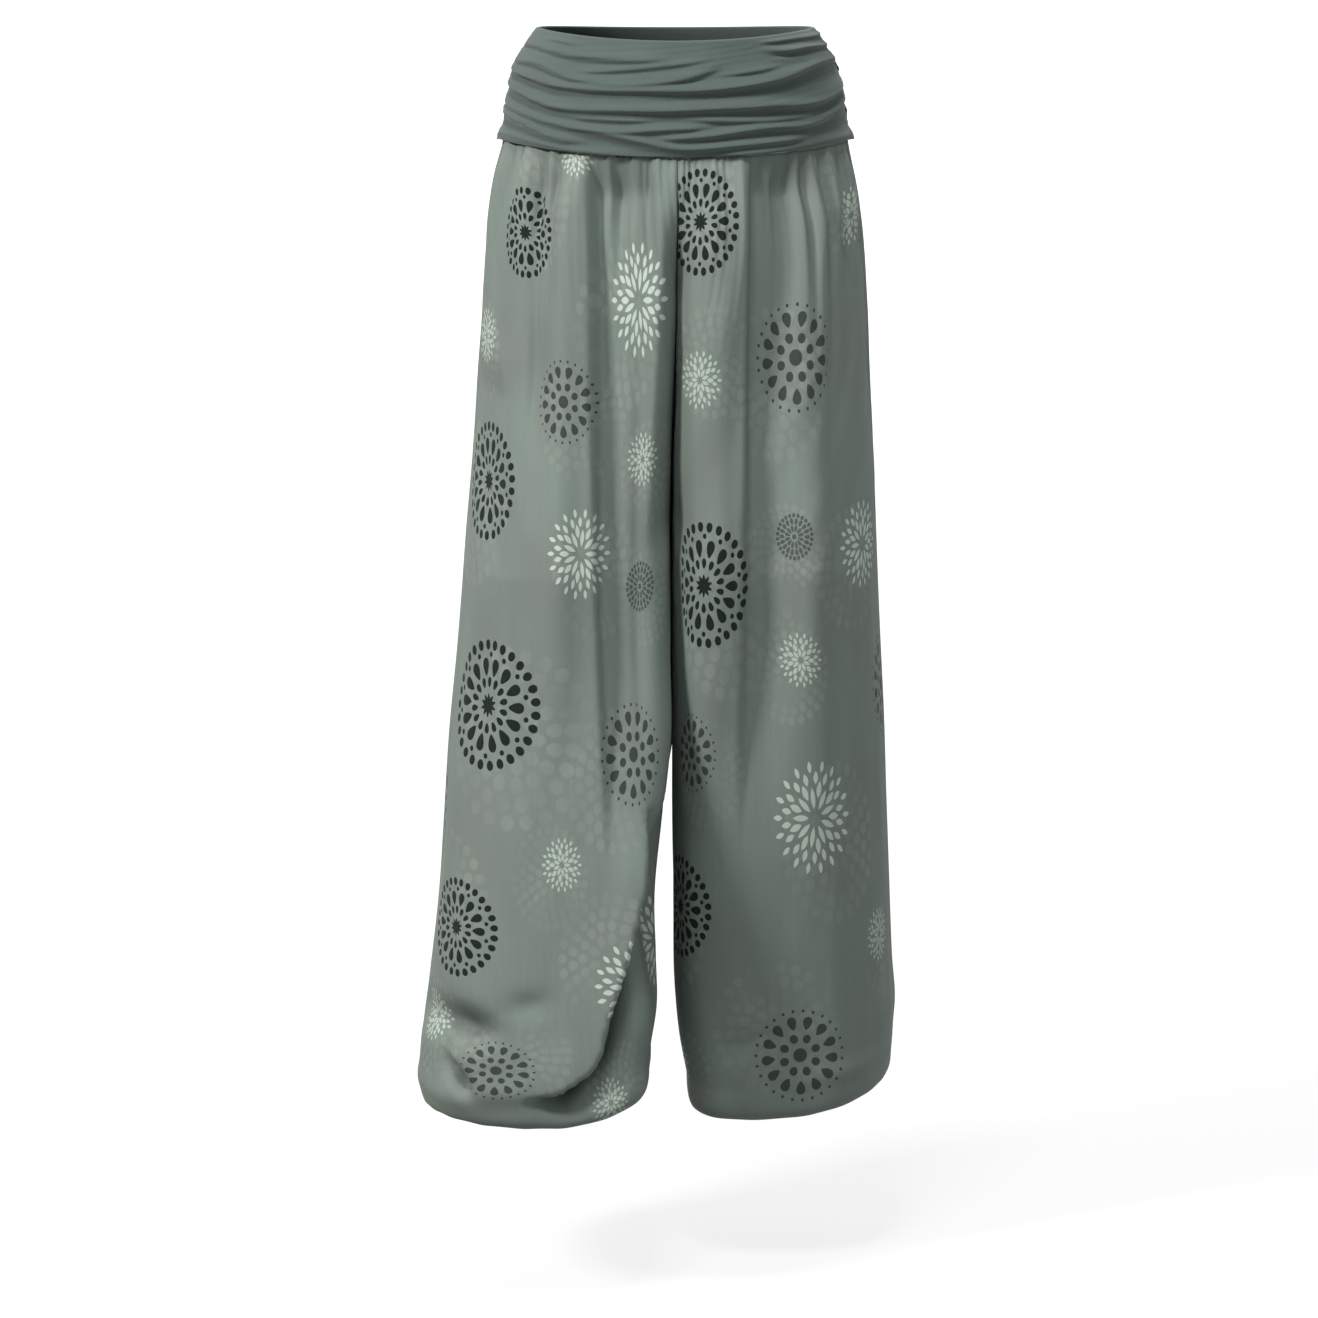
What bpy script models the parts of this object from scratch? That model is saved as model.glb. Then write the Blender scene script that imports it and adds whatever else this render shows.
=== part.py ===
"""Harem pants with a ruched fold-over waistband, standing open in the pose of a short step.

Metres, +Z up. The wearer faces -Y, so +X is the wearer's left. The origin is the middle of the waist,
where a body holds the pants up. Each cut piece of cloth is one closed wall: two waistband halves, four leg
panels and two ankle casings. A wall is a smooth form, moved out along its own normals by the folds.
"""

import math
from collections import namedtuple

import bpy
import numpy as np

# ---- Cloth and seams -------------------------------------------------------------------------------
SEAM_GAP = 0.0003  # between two pieces that are sewn together
LEG_WALL = 0.0014
BAND_WALL = 0.0012
CASING_WALL = 0.0022  # the hem doubled over its elastic
COLOUR_JERSEY = (0.118, 0.150, 0.136, 1.0)
COLOUR_VISCOSE = (0.215, 0.262, 0.235, 1.0)

# ---- Waistband -------------------------------------------------------------------------------------
# The body's outline under the band: half width and half depth at each height.
BandRow = namedtuple("BandRow", "z half_width half_depth")
BAND_BODY = (
    BandRow(-0.090, 0.1580, 0.1150),
    BandRow(-0.060, 0.1525, 0.1115),
    BandRow(-0.032, 0.1475, 0.1080),
    BandRow(-0.010, 0.1430, 0.1050),
    BandRow(0.010, 0.1375, 0.1010),
    BandRow(0.028, 0.1275, 0.0950),
    BandRow(0.048, 0.1165, 0.0890),
)
# Height of each edge at the sides, and how far it dips in the middle of the front and of the back.
EdgeLine = namedtuple("EdgeLine", "side front_dip back_dip")
BAND_TOP = EdgeLine(0.0390, 0.0085, 0.0035)
FLAP_HEM = EdgeLine(-0.0570, 0.0095, 0.0)
WAIST_SEAM = EdgeLine(-0.0578, 0.0095, 0.0)
LAYER_OFFSET = 0.0014  # from the body's outline to the middle of either layer of the band
FLAP_ROWS = 30
LINING_ROWS = 4
ROLL_ANGLES = (45.0, 90.0, 135.0)  # where the band folds over at the top, in degrees
BAND_COLUMNS = 14

# The ruching: ridges that run across the flap. Each has places of its crest, as shares of the way across
# from seam to seam and of the flap's height, a soft width in the same shares, and a height in metres.
Ruche = namedtuple("Ruche", "line width height")
FRONT_RUCHES = (
    Ruche(((-0.1, 0.86), (0.14, 0.90), (0.30, 0.86), (0.55, 0.87)), 0.036, 0.0030),
    Ruche(((-0.1, 0.8), (0.08, 0.75), (0.18, 0.76), (0.29, 0.66), (0.45, 0.66), (0.62, 0.83)), 0.034, 0.004),
    Ruche(((-0.1, 0.8), (0.03, 0.68), (0.26, 0.58), (0.6, 0.61), (0.81, 0.74), (1.1, 0.72)), 0.034, 0.0048),
    Ruche(((-0.1, 0.66), (0.04, 0.55), (0.26, 0.40), (0.64, 0.43), (0.81, 0.42), (1.1, 0.6)), 0.036, 0.0048),
    Ruche(((0.24, 0.30), (0.50, 0.33), (0.83, 0.29)), 0.028, 0.0028),
    Ruche(((-0.1, 0.46), (0.06, 0.36), (0.27, 0.24), (0.40, 0.22), (0.60, 0.27)), 0.034, 0.0040),
    Ruche(((-0.1, 0.38), (0.15, 0.23), (0.27, 0.12), (0.36, 0.11)), 0.034, 0.0038),
    Ruche(((0.31, 0.22), (0.44, 0.14), (0.50, 0.09), (0.80, 0.11)), 0.030, 0.0034),
    Ruche(((0.43, 0.16), (0.66, 0.23), (0.81, 0.25), (0.93, 0.38), (1.1, 0.50)), 0.034, 0.0042),
    Ruche(((0.67, 0.93), (0.82, 0.90), (1.1, 0.86)), 0.030, 0.0034),
)
BACK_RUCHES = (
    Ruche(((-0.1, 0.90), (0.30, 0.86), (0.60, 0.88), (1.1, 0.90)), 0.036, 0.0026),
    Ruche(((-0.1, 0.80), (0.12, 0.74), (0.30, 0.68), (0.55, 0.68), (1.1, 0.83)), 0.034, 0.0040),
    Ruche(((-0.1, 0.70), (0.15, 0.60), (0.35, 0.55), (0.60, 0.56), (1.1, 0.72)), 0.034, 0.0046),
    Ruche(((-0.1, 0.58), (0.15, 0.46), (0.40, 0.41), (0.65, 0.43), (1.1, 0.60)), 0.036, 0.0046),
    Ruche(((0.18, 0.34), (0.38, 0.32), (0.58, 0.33)), 0.028, 0.0028),
    Ruche(((-0.1, 0.46), (0.10, 0.32), (0.32, 0.24), (0.58, 0.25), (1.1, 0.46)), 0.034, 0.0040),
    Ruche(((-0.1, 0.32), (0.14, 0.19), (0.40, 0.14), (0.68, 0.16), (1.1, 0.33)), 0.034, 0.0038),
    Ruche(((0.26, 0.08), (0.55, 0.07), (0.85, 0.11)), 0.030, 0.0030),
)
RUCHE_REST = 0.0006  # height of the flap between its ridges
RUCHE_FADE = 0.10  # share of the way across over which a ridge rises from its own end
RUCHES_AT_SEAM = 0.40  # share of their height that the ridges keep at the side seams
SEAM_CALM = 0.07  # how far from a side seam they regain it, in shares of the way across
FLAP_TOP_FADE = (1.0, 0.94)
FLAP_HEM_FADE = (-0.02, 0.03)
CORNER_FLARE = 0.0030  # how far the flap's hem stands out at the side seams
CORNER_WIDTH, CORNER_HEIGHT = 0.06, 0.14  # in shares of the way across and of the flap's height

# ---- Legs ------------------------------------------------------------------------------------------
RIGHT, LEFT = -1, 1  # the wearer's right leg lies at -X
FRONT, BACK = -1, 1  # the wearer's front faces -Y
# One row for each cross-section: distances of the side and the inner leg from the middle plane, the
# foremost and rearmost y, and the y of the inner seam and of the side seam.
Section = namedtuple("Section", "z outer inner front back inner_y side_y")
HIP_SECTIONS = (
    Section(-0.0578, 0.1521, 0.0, -0.1115, 0.1127, 0.0, 0.0),
    Section(-0.0750, 0.1555, 0.0, -0.1165, 0.1180, 0.0, 0.0),
    Section(-0.0900, 0.1590, 0.0, -0.1200, 0.1225, 0.0, 0.0),
    Section(-0.1250, 0.1650, 0.0, -0.1270, 0.1305, 0.0, 0.0),
    Section(-0.2000, 0.1710, 0.0, -0.1350, 0.1395, 0.0, 0.0),
)
LEG_SECTIONS = {
    RIGHT: HIP_SECTIONS
    + (
        Section(-0.2800, 0.1770, 0.000, -0.1420, 0.1400, 0.000, -0.003),
        Section(-0.3600, 0.1830, 0.000, -0.1480, 0.1340, 0.000, -0.010),
        Section(-0.4300, 0.1885, 0.000, -0.1530, 0.1240, 0.000, -0.020),
        Section(-0.5000, 0.1940, 0.0005, -0.1600, 0.1120, -0.018, -0.032),
        Section(-0.5800, 0.2015, 0.0015, -0.1710, 0.0960, -0.040, -0.047),
        Section(-0.6500, 0.2060, 0.0100, -0.1830, 0.0780, -0.058, -0.062),
        Section(-0.7200, 0.2105, 0.018, -0.1950, 0.0580, -0.074, -0.078),
        Section(-0.7900, 0.2180, 0.017, -0.2060, 0.0400, -0.086, -0.090),
        Section(-0.8500, 0.2250, 0.017, -0.2130, 0.0300, -0.094, -0.098),
        Section(-0.8800, 0.2270, 0.022, -0.2140, 0.0280, -0.096, -0.100),
    ),
    LEFT: HIP_SECTIONS
    + (
        Section(-0.2800, 0.1750, 0.000, -0.1380, 0.1430, 0.000, 0.002),
        Section(-0.3600, 0.1790, 0.000, -0.1380, 0.1460, 0.000, 0.008),
        Section(-0.4300, 0.1820, 0.000, -0.1340, 0.1500, 0.000, 0.015),
        Section(-0.5000, 0.1855, 0.0005, -0.1280, 0.1570, 0.012, 0.024),
        Section(-0.5800, 0.1900, 0.0005, -0.1190, 0.1660, 0.028, 0.034),
        Section(-0.6600, 0.1930, 0.0005, -0.1080, 0.1750, 0.042, 0.045),
        Section(-0.7400, 0.1965, 0.001, -0.0960, 0.1840, 0.054, 0.056),
        Section(-0.8200, 0.2000, 0.002, -0.0840, 0.1920, 0.064, 0.066),
        Section(-0.8700, 0.2030, 0.006, -0.0770, 0.1970, 0.071, 0.073),
        Section(-0.9000, 0.2010, 0.011, -0.0740, 0.1960, 0.074, 0.076),
    ),
}
CROTCH_Z = -0.430
SPLIT_POWER = 1.6  # how late the seat divides into two legs on the way down to the crotch
INNER_CORNER, OUTER_CORNER = 6.0, 2.4  # squareness of a leg's section at its inner and outer side
BACK_INNER_CORNER = 4.0
DIP_FADE = (0.30, 0.0)  # share of the leg's length over which the waist seam's dip levels out
SINK_FADE = (0.80, 1.0)  # the last part of that length, which sinks or rises to meet the bag
VALLEY_SHARE = 0.20  # how far the valley above the crotch sinks in front, as a share of the front's depth
VALLEY_WIDTH = 0.0095
VALLEY_TOP_FADE = (-0.080, -0.190)
VALLEY_LOW_FADE = (CROTCH_Z, CROTCH_Z + 0.050)
NORMAL_TURN = 0.050  # height above the crotch over which the inner edge turns to lie across the leg
QUARTER_POWER = 2.5  # how closely a quarter round's samples crowd at its side

# The bag over the ankle: how far in towards the ankle, and how high above the bag's lowest level.
BagRow = namedtuple("BagRow", "inward height")
BAG_PROFILE = (
    BagRow(0.000, 0.0300),
    BagRow(0.007, 0.0145),
    BagRow(0.034, 0.0045),
    BagRow(0.105, 0.0002),
    BagRow(0.270, 0.0010),
    BagRow(0.480, 0.0090),
    BagRow(0.740, 0.0170),
    BagRow(1.000, 0.0200),
)
# Each ankle: its centre, the bag's lowest level and where that is, how much the level rises to +Y, and how
# it curves up to both sides (rise over distance squared).
Ankle = namedtuple("Ankle", "x y lowest low_x rise_y inner_curve outer_curve")
ANKLES = {
    RIGHT: Ankle(-0.136, -0.080, -0.9132, -0.110, -0.060, 3.1, 0.8),
    LEFT: Ankle(0.097, 0.072, -0.9370, 0.062, -0.020, 1.3, 1.3),
}
ANKLE_RADIUS = 0.0460  # outside of the casing, between its gathers
CASING_HEIGHT = 0.0200
CASING_ABOVE = 0.0050  # how far the casing's top stands above the cloth that meets it

# Gathers: waves of the cloth along the waist seam and round the ankle casing, for each panel.
WAIST_GATHERS = 7
WAIST_GATHER_DEPTH = 0.0052
HEM_GATHERS = 7
HEM_GATHER_DEPTH = 0.0030
RING_GATHER_DEPTH = 0.0012
WAIST_GATHER_LEAST = 0.35  # share of their depth right at the seam
WAIST_GATHER_GROWTH = (0.0, 0.04)
WAIST_GATHER_FADE = (0.26, 0.03)
HEM_GATHER_GROWTH = (1.15, 1.75)

# The large folds, seen from the front or back: a curve through three places, the soft width of its flank
# towards -X and of its flank towards +X, its depth outwards, and how squarely the wider flank ends.
Fold = namedtuple("Fold", "side face x_top z_top x_mid z_mid x_low z_low minus_width plus_width depth power")
FOLDS = (
    Fold(RIGHT, FRONT, -0.121, -0.070, -0.124, -0.200, -0.130, -0.340, 0.009, 0.018, -0.0070, 2),
    Fold(RIGHT, FRONT, -0.072, -0.070, -0.068, -0.260, -0.056, -0.640, 0.007, 0.046, -0.0150, 4),
    Fold(RIGHT, FRONT, -0.098, -0.090, -0.100, -0.300, -0.104, -0.640, 0.018, 0.014, 0.0060, 2),
    Fold(RIGHT, FRONT, -0.160, -0.250, -0.168, -0.420, -0.178, -0.620, 0.018, 0.018, -0.0060, 2),
    Fold(LEFT, FRONT, 0.069, -0.070, 0.067, -0.300, 0.062, -0.640, 0.008, 0.042, -0.0140, 3),
    Fold(LEFT, FRONT, 0.142, -0.120, 0.144, -0.420, 0.152, -0.740, 0.012, 0.028, -0.0085, 3),
    Fold(LEFT, FRONT, 0.116, -0.100, 0.114, -0.420, 0.100, -0.800, 0.018, 0.018, 0.0060, 2),
    Fold(LEFT, FRONT, 0.040, -0.100, 0.038, -0.330, 0.034, -0.640, 0.016, 0.014, 0.0050, 2),
    Fold(RIGHT, BACK, -0.060, -0.080, -0.066, -0.340, -0.082, -0.800, 0.028, 0.009, -0.0135, 2),
    Fold(RIGHT, BACK, -0.128, -0.100, -0.132, -0.360, -0.150, -0.700, 0.016, 0.016, -0.0085, 2),
    Fold(RIGHT, BACK, -0.094, -0.120, -0.100, -0.360, -0.118, -0.760, 0.018, 0.018, 0.0060, 2),
    Fold(LEFT, BACK, 0.066, -0.080, 0.070, -0.380, 0.084, -0.820, 0.009, 0.028, -0.0135, 2),
    Fold(LEFT, BACK, 0.122, -0.090, 0.130, -0.330, 0.140, -0.660, 0.016, 0.016, -0.0085, 2),
    Fold(LEFT, BACK, 0.032, -0.140, 0.038, -0.360, 0.046, -0.700, 0.016, 0.016, 0.0060, 2),
)
FOLD_LOW_FADE = 0.36  # share of a fold's length over which it fades out at its lower end
FOLD_TOP_FADE = (0.01, -0.03)  # heights from its upper end over which it rises there
FOLDS_UNDER_FADE = (1.30, 1.0)
FOLDS_INNER_FADE = (0.0, 0.08)
# The lip of the forward leg's bag, as seen from the front. Below and inside it the cloth tucks in.
LipPoint = namedtuple("LipPoint", "x z")
LIP_LINE = (
    LipPoint(-0.0160, -0.620),
    LipPoint(-0.0240, -0.690),
    LipPoint(-0.0350, -0.750),
    LipPoint(-0.0480, -0.800),
    LipPoint(-0.0640, -0.843),
    LipPoint(-0.0860, -0.870),
    LipPoint(-0.1200, -0.884),
)
LIP_BULGE, LIP_BULGE_WIDTH = 0.0070, 0.034
TUCK_DEPTH, TUCK_WIDTH = 0.0190, 0.030
LIP_EDGE = 0.005  # how quickly the bulge turns into the tuck
LIP_START_FADE, LIP_END_FADE = (0.0, 0.25), (1.0, 0.80)
LIP_UNDER_FADE = (1.45, 1.0)
LIP_INNER_FADE = (0.0, 0.05)
LIP_SAMPLES = 61

# ---- Mesh density ----------------------------------------------------------------------------------
LEG_COLUMNS = 4 * WAIST_GATHERS
WALL_ROWS = (0.0, 0.014, 0.040, 0.080, 0.135, 0.210, 0.300, 0.385, 0.455, 0.530, 0.610, 0.690, 0.765,
             0.835, 0.895, 0.950, 1.0)
COLUMN_CROWDING = 0.35  # how much closer the columns stand at a panel's seams
OUTLINE_SAMPLES = 240
STEP = 1e-3  # parameter step for a normal
SHARP_ANGLE = math.radians(60)


# ---- Curves ----------------------------------------------------------------------------------------
def smooth_curve(at, stations, values):
    """Cubic curve through the stations, in either order, with each slope taken from its neighbours."""
    order = np.argsort(stations)
    stations = np.asarray(stations, float)[order]
    values = np.asarray(values, float)[order]
    slopes = np.gradient(values, stations)
    at = np.clip(at, stations[0], stations[-1])
    i = np.clip(np.searchsorted(stations, at) - 1, 0, len(stations) - 2)
    width = stations[i + 1] - stations[i]
    s = (at - stations[i]) / width
    rising = s * s * (3 - 2 * s)
    return (
        values[i] * (1 - rising)
        + values[i + 1] * rising
        + slopes[i] * width * s * (1 - s) ** 2
        - slopes[i + 1] * width * s * s * (1 - s)
    )


def ease(at, low, high):
    """0 before low, 1 after high, and smooth between them; low may be above high."""
    s = np.clip((at - low) / (high - low), 0, 1)
    return s * s * (3 - 2 * s)


def column_of(rows, name):
    """One named column of a table of named tuples."""
    return np.array([getattr(row, name) for row in rows])


# ---- Closed walls ----------------------------------------------------------------------------------
def wall_object(name, outer, inner, material, closed_ring=False):
    """A closed mesh between two grids of points, outer and inner, of shape (rows, columns, 3)."""
    rows, columns = outer.shape[:2]
    points = np.concatenate([outer.reshape(-1, 3), inner.reshape(-1, 3)])
    index = np.arange(rows * columns).reshape(rows, columns)
    if closed_ring:
        index = np.concatenate([index, index[:, :1]], axis=1)
    other = rows * columns

    def quads(a, b, c, d):
        return np.stack([a, b, c, d], axis=-1).reshape(-1, 4)

    top, low = index[0], index[-1]
    faces = [
        quads(index[:-1, :-1], index[:-1, 1:], index[1:, 1:], index[1:, :-1]),
        quads(index[:-1, :-1], index[1:, :-1], index[1:, 1:], index[:-1, 1:]) + other,
        quads(top[1:], top[:-1], top[:-1] + other, top[1:] + other),
        quads(low[:-1], low[1:], low[1:] + other, low[:-1] + other),
    ]
    if not closed_ring:
        first, last = index[:, 0], index[:, -1]
        faces.append(quads(first[:-1], first[1:], first[1:] + other, first[:-1] + other))
        faces.append(quads(last[1:], last[:-1], last[:-1] + other, last[1:] + other))
    mesh = bpy.data.meshes.new(name)
    mesh.from_pydata(points.tolist(), [], np.concatenate(faces).tolist())
    mesh.validate()
    turn_faces_out(mesh)
    mesh.shade_smooth()
    mesh.set_sharp_from_angle(angle=SHARP_ANGLE)
    mesh.materials.append(material)
    made = bpy.data.objects.new(name, mesh)
    bpy.context.scene.collection.objects.link(made)
    return made


def turn_faces_out(mesh):
    """Turns every face round if the closed mesh is inside out."""
    mesh.calc_loop_triangles()
    corners = np.array([[mesh.vertices[i].co for i in t.vertices] for t in mesh.loop_triangles])
    volume = np.einsum("ij,ij->i", corners[:, 0], np.cross(corners[:, 1], corners[:, 2])).sum()
    if volume < 0:
        mesh.flip_normals()


def cloth_material(name, colour, roughness):
    """A plain cloth finish."""
    material = bpy.data.materials.new(name)
    material.use_nodes = True
    shader = material.node_tree.nodes["Principled BSDF"]
    shader.inputs["Base Color"].default_value = colour
    shader.inputs["Roughness"].default_value = roughness
    shader.inputs["Metallic"].default_value = 0.0
    return material


# ---- Waistband -------------------------------------------------------------------------------------
def edge_height(line, angle):
    """Height of an edge round the waist. The angle is 0 at +X and -90 degrees in the middle of the front."""
    facing = np.sin(angle)
    dip = np.where(facing < 0, line.front_dip, line.back_dip)
    return line.side - dip * facing**2


def body_point(angle, z):
    """The body's outline at an angle and height, and the level direction outwards from it."""
    stations = column_of(BAND_BODY, "z")
    half_width = smooth_curve(z, stations, column_of(BAND_BODY, "half_width"))
    half_depth = smooth_curve(z, stations, column_of(BAND_BODY, "half_depth"))
    point = np.stack([half_width * np.cos(angle), half_depth * np.sin(angle), z], axis=-1)
    out = np.stack([half_depth * np.cos(angle), half_width * np.sin(angle), 0 * z], axis=-1)
    return point, out / np.linalg.norm(out, axis=-1, keepdims=True)


def ruching(ruches, across, up):
    """How far the flap stands out: its ridges, each a soft hump about its own crest, joined softly."""
    height = np.full(np.broadcast(across, up).shape, RUCHE_REST)
    for ruche in ruches:
        places = np.array(ruche.line)
        crest = smooth_curve(across, places[:, 0], places[:, 1])
        first, last = places[0, 0], places[-1, 0]
        shown = ease(across, first, first + RUCHE_FADE) * ease(across, last, last - RUCHE_FADE)
        hump = ruche.height * shown * np.exp(-(((up - crest) / ruche.width) ** 2))
        height = np.sqrt(height**2 + hump**2)
    from_seam = np.minimum(across, 1 - across)
    calm = RUCHES_AT_SEAM + (1 - RUCHES_AT_SEAM) * ease(from_seam, 0.0, SEAM_CALM)
    fades = ease(up, *FLAP_TOP_FADE) * ease(up, *FLAP_HEM_FADE)
    corner = ease(from_seam, CORNER_WIDTH, 0.0) * ease(up, CORNER_HEIGHT, 0.0)
    return RUCHE_REST + (height - RUCHE_REST) * calm * fades + CORNER_FLARE * corner


def band_path(face, across):
    """Middle line of the band's cloth, from the flap's hem, up, over the fold and down to the waist seam.

    Returns its points and the direction through the cloth there, each of shape (rows, columns, 3)."""
    start = math.pi if face == FRONT else 0.0
    angle = start + math.pi * across
    top, hem, seam = (edge_height(line, angle) for line in (BAND_TOP, FLAP_HEM, WAIST_SEAM))
    ruches = FRONT_RUCHES if face == FRONT else BACK_RUCHES
    points, through = [], []

    def add(z, offset, turned):
        """A row at a height, an offset out from the body, and the angle turned from facing outwards."""
        on_body, out = body_point(angle, z)
        up = np.array([0.0, 0.0, 1.0])
        points.append(on_body + out * np.reshape(offset, (-1, 1)))
        through.append(out * math.cos(turned) + up * math.sin(turned))

    for up in np.linspace(0, 1, FLAP_ROWS):
        add(hem + (top - hem) * up, LAYER_OFFSET + ruching(ruches, across, up), 0.0)
    for turned in np.radians(ROLL_ANGLES):
        reach = LAYER_OFFSET + RUCHE_REST * math.cos(turned) ** 2
        add(top + LAYER_OFFSET * math.sin(turned), np.full(len(angle), reach * math.cos(turned)), turned)
    for down in np.linspace(0, 1, LINING_ROWS):
        add(top + (seam - top) * down, np.full(len(angle), -LAYER_OFFSET), math.pi)
    return np.array(points), np.array(through)


def make_band(name, face, material):
    """One half of the waistband: the ruched flap and the plain layer behind it, folded at the top."""
    angle_of_gap = SEAM_GAP / 2 / BAND_BODY[2].half_depth / math.pi
    across = np.linspace(angle_of_gap, 1 - angle_of_gap, BAND_COLUMNS + 1)
    path, through = band_path(face, across)
    half = through * BAND_WALL / 2
    return wall_object(name, path + half, path - half, material)


# ---- Legs ------------------------------------------------------------------------------------------
def quarter_samples(corner):
    """Places along a quarter of a squared-off round, from its side (0, 0) to its middle (1, 1)."""
    angle = math.pi / 2 * np.linspace(0, 1, OUTLINE_SAMPLES) ** QUARTER_POWER
    return 1 - np.cos(angle) ** (2 / corner), np.sin(angle) ** (2 / corner)


def outline_samples(face):
    """The half outline of a leg in shares of its width and depth, from the inner seam to the side seam."""
    inner_across, inner_out = quarter_samples(INNER_CORNER if face == FRONT else BACK_INNER_CORNER)
    outer_across, outer_out = quarter_samples(OUTER_CORNER)
    across = np.concatenate([inner_across / 2, 1 - outer_across[-2::-1] / 2])
    return across, np.concatenate([inner_out, outer_out[-2::-1]])


def split_share(z):
    """0 where both halves share one round seat, 1 from the crotch down, where each leg is a tube."""
    top = HIP_SECTIONS[0].z
    return np.clip((top - z) / (top - CROTCH_Z), 0, 1) ** SPLIT_POWER


def outline_at(side, face, z, crowded):
    """The panel's level outlines at the heights z, read at shares of their length: (rows, columns, 3)."""
    rows = LEG_SECTIONS[side]
    heights = column_of(rows, "z")
    value = {name: smooth_curve(z, heights, column_of(rows, name))[:, None] for name in Section._fields}
    hip_reach = smooth_curve(
        np.maximum(z, HIP_SECTIONS[-1].z),
        column_of(HIP_SECTIONS, "z"),
        column_of(HIP_SECTIONS, "front" if face == FRONT else "back"),
    )[:, None]
    across, boxed = outline_samples(face)
    rounded = np.sqrt(1 - across**2)
    split = split_share(z)[:, None]
    inner = np.maximum(value["inner"], SEAM_GAP / 2)
    x = inner + (value["outer"] - inner) * across
    middle = value["inner_y"] + (value["side_y"] - value["inner_y"]) * across
    edge = value["front"] if face == FRONT else value["back"]
    centre = (value["inner_y"] + value["side_y"]) / 2
    y = middle + face * SEAM_GAP / 2 + (1 - split) * hip_reach * rounded + split * (edge - centre) * boxed
    steps = np.hypot(np.diff(x), np.diff(y))
    length = np.concatenate([0 * z[:, None], np.cumsum(steps, axis=1)], axis=1)
    made = np.empty((len(z), len(crowded), 3))
    for i in range(len(z)):
        at = crowded * length[i, -1]
        made[i, :, 0] = side * np.interp(at, length[i], x[i])
        made[i, :, 1] = np.interp(at, length[i], y[i])
        made[i, :, 2] = z[i]
    return made


def crowd(along):
    """Shares of a panel's width at even steps, closer together near its seams."""
    return along - COLUMN_CROWDING * np.sin(2 * math.pi * along) / (2 * math.pi)


def ring_angle(side, face, along):
    """The angle round the ankle of each column, from the inner seam to the side seam."""
    inner = math.pi if side == LEFT else 0.0
    return inner + side * -face * math.pi * crowd(along)


def ring_point(side, face, along, radius):
    """Points of the ankle ring of that radius at each column, with the ring's gathers."""
    ankle = ANKLES[side]
    angle = ring_angle(side, face, along)
    r = radius + RING_GATHER_DEPTH * np.cos(2 * math.pi * HEM_GATHERS * along)
    y = ankle.y + face * SEAM_GAP / 2 + r * np.sin(angle)
    return np.stack([ankle.x + r * np.cos(angle), y], axis=-1)


def bag_level(side, x, y):
    """The lowest level of the bag under a place: a shallow trough that rises to both sides and forwards."""
    ankle = ANKLES[side]
    beyond = x - ankle.low_x
    curve = np.where(beyond * ankle.low_x > 0, ankle.outer_curve, ankle.inner_curve)
    return ankle.lowest + curve * beyond**2 + ankle.rise_y * (y - ankle.y)


def base_grid(side, face, along, down):
    """The smooth form of a panel. along runs from the inner seam, 0, to the side seam, 1. down runs from
    the waist seam, 0, to where the bag starts to turn, 1, and on under it to the ankle casing, 2."""
    sections = LEG_SECTIONS[side]
    top, turn = sections[0].z, sections[-1].z
    wall_share = np.minimum(down, 1.0)
    grid = outline_at(side, face, top + (turn - top) * wall_share, crowd(along))
    x_share = np.clip(np.abs(grid[:, :, 0]) / sections[0].outer, 0, 1)
    if face == FRONT:
        fading = ease(wall_share, *DIP_FADE)[:, None]
        grid[:, :, 2] -= WAIST_SEAM.front_dip * (1 - x_share**2) * fading
    grid[:, :, 2] -= SEAM_GAP * (wall_share == 0)[:, None]
    under = np.clip(down - 1.0, 0, 1)[:, None]
    stations = np.linspace(0, 1, len(BAG_PROFILE))
    inward = smooth_curve(under, stations, column_of(BAG_PROFILE, "inward"))
    height = smooth_curve(under, stations, column_of(BAG_PROFILE, "height"))
    ring = ring_point(side, face, along, ANKLE_RADIUS + SEAM_GAP)
    x = grid[:, :, 0] + (ring[:, 0] - grid[:, :, 0]) * inward
    y = grid[:, :, 1] + (ring[:, 1] - grid[:, :, 1]) * inward
    # The lower part of the wall sinks or rises to meet the bag's own level, which evens out at the ankle.
    low = bag_level(side, grid[:, :, 0], grid[:, :, 1]) * (1 - inward) + ANKLES[side].lowest * inward
    start = turn - BAG_PROFILE[0].height
    share = ease(wall_share, *SINK_FADE)[:, None]
    on_wall = grid[:, :, 2] + share * (low - start)
    grid[:, :, 2] = np.where(under > 0, height + low, on_wall)
    grid[:, :, 0], grid[:, :, 1] = x, y
    return grid


def normals_of(side, face, along, down):
    """Outward unit normals of the smooth form."""
    a0, a1 = np.clip(along - STEP, 0, 1), np.clip(along + STEP, 0, 1)
    d0, d1 = np.clip(down - STEP, 0, 2), np.clip(down + STEP, 0, 2)
    across = base_grid(side, face, a1, down) - base_grid(side, face, a0, down)
    lengthways = base_grid(side, face, along, d1) - base_grid(side, face, along, d0)
    normal = np.cross(across, lengthways) * side * face
    return normal / np.linalg.norm(normal, axis=-1, keepdims=True)


def fold_line_shape(fold, x, z):
    """A soft trough or ridge about the curve through a fold's three places, fading at both ends."""
    stations = (fold.z_top, fold.z_mid, fold.z_low)
    line = smooth_curve(z, stations, (fold.x_top, fold.x_mid, fold.x_low))
    length = fold.z_top - fold.z_low
    rise_start, rise_end = FOLD_TOP_FADE
    shown = ease(z, fold.z_low, fold.z_low + FOLD_LOW_FADE * length)
    shown = shown * ease(z, fold.z_top + rise_start, fold.z_top + rise_end)
    aside = x - line
    width = np.where(aside < 0, fold.minus_width, fold.plus_width)
    power = np.where(width > min(fold.minus_width, fold.plus_width), fold.power, 2)
    return fold.depth * shown * np.exp(-(np.abs(aside / width) ** power))


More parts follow.
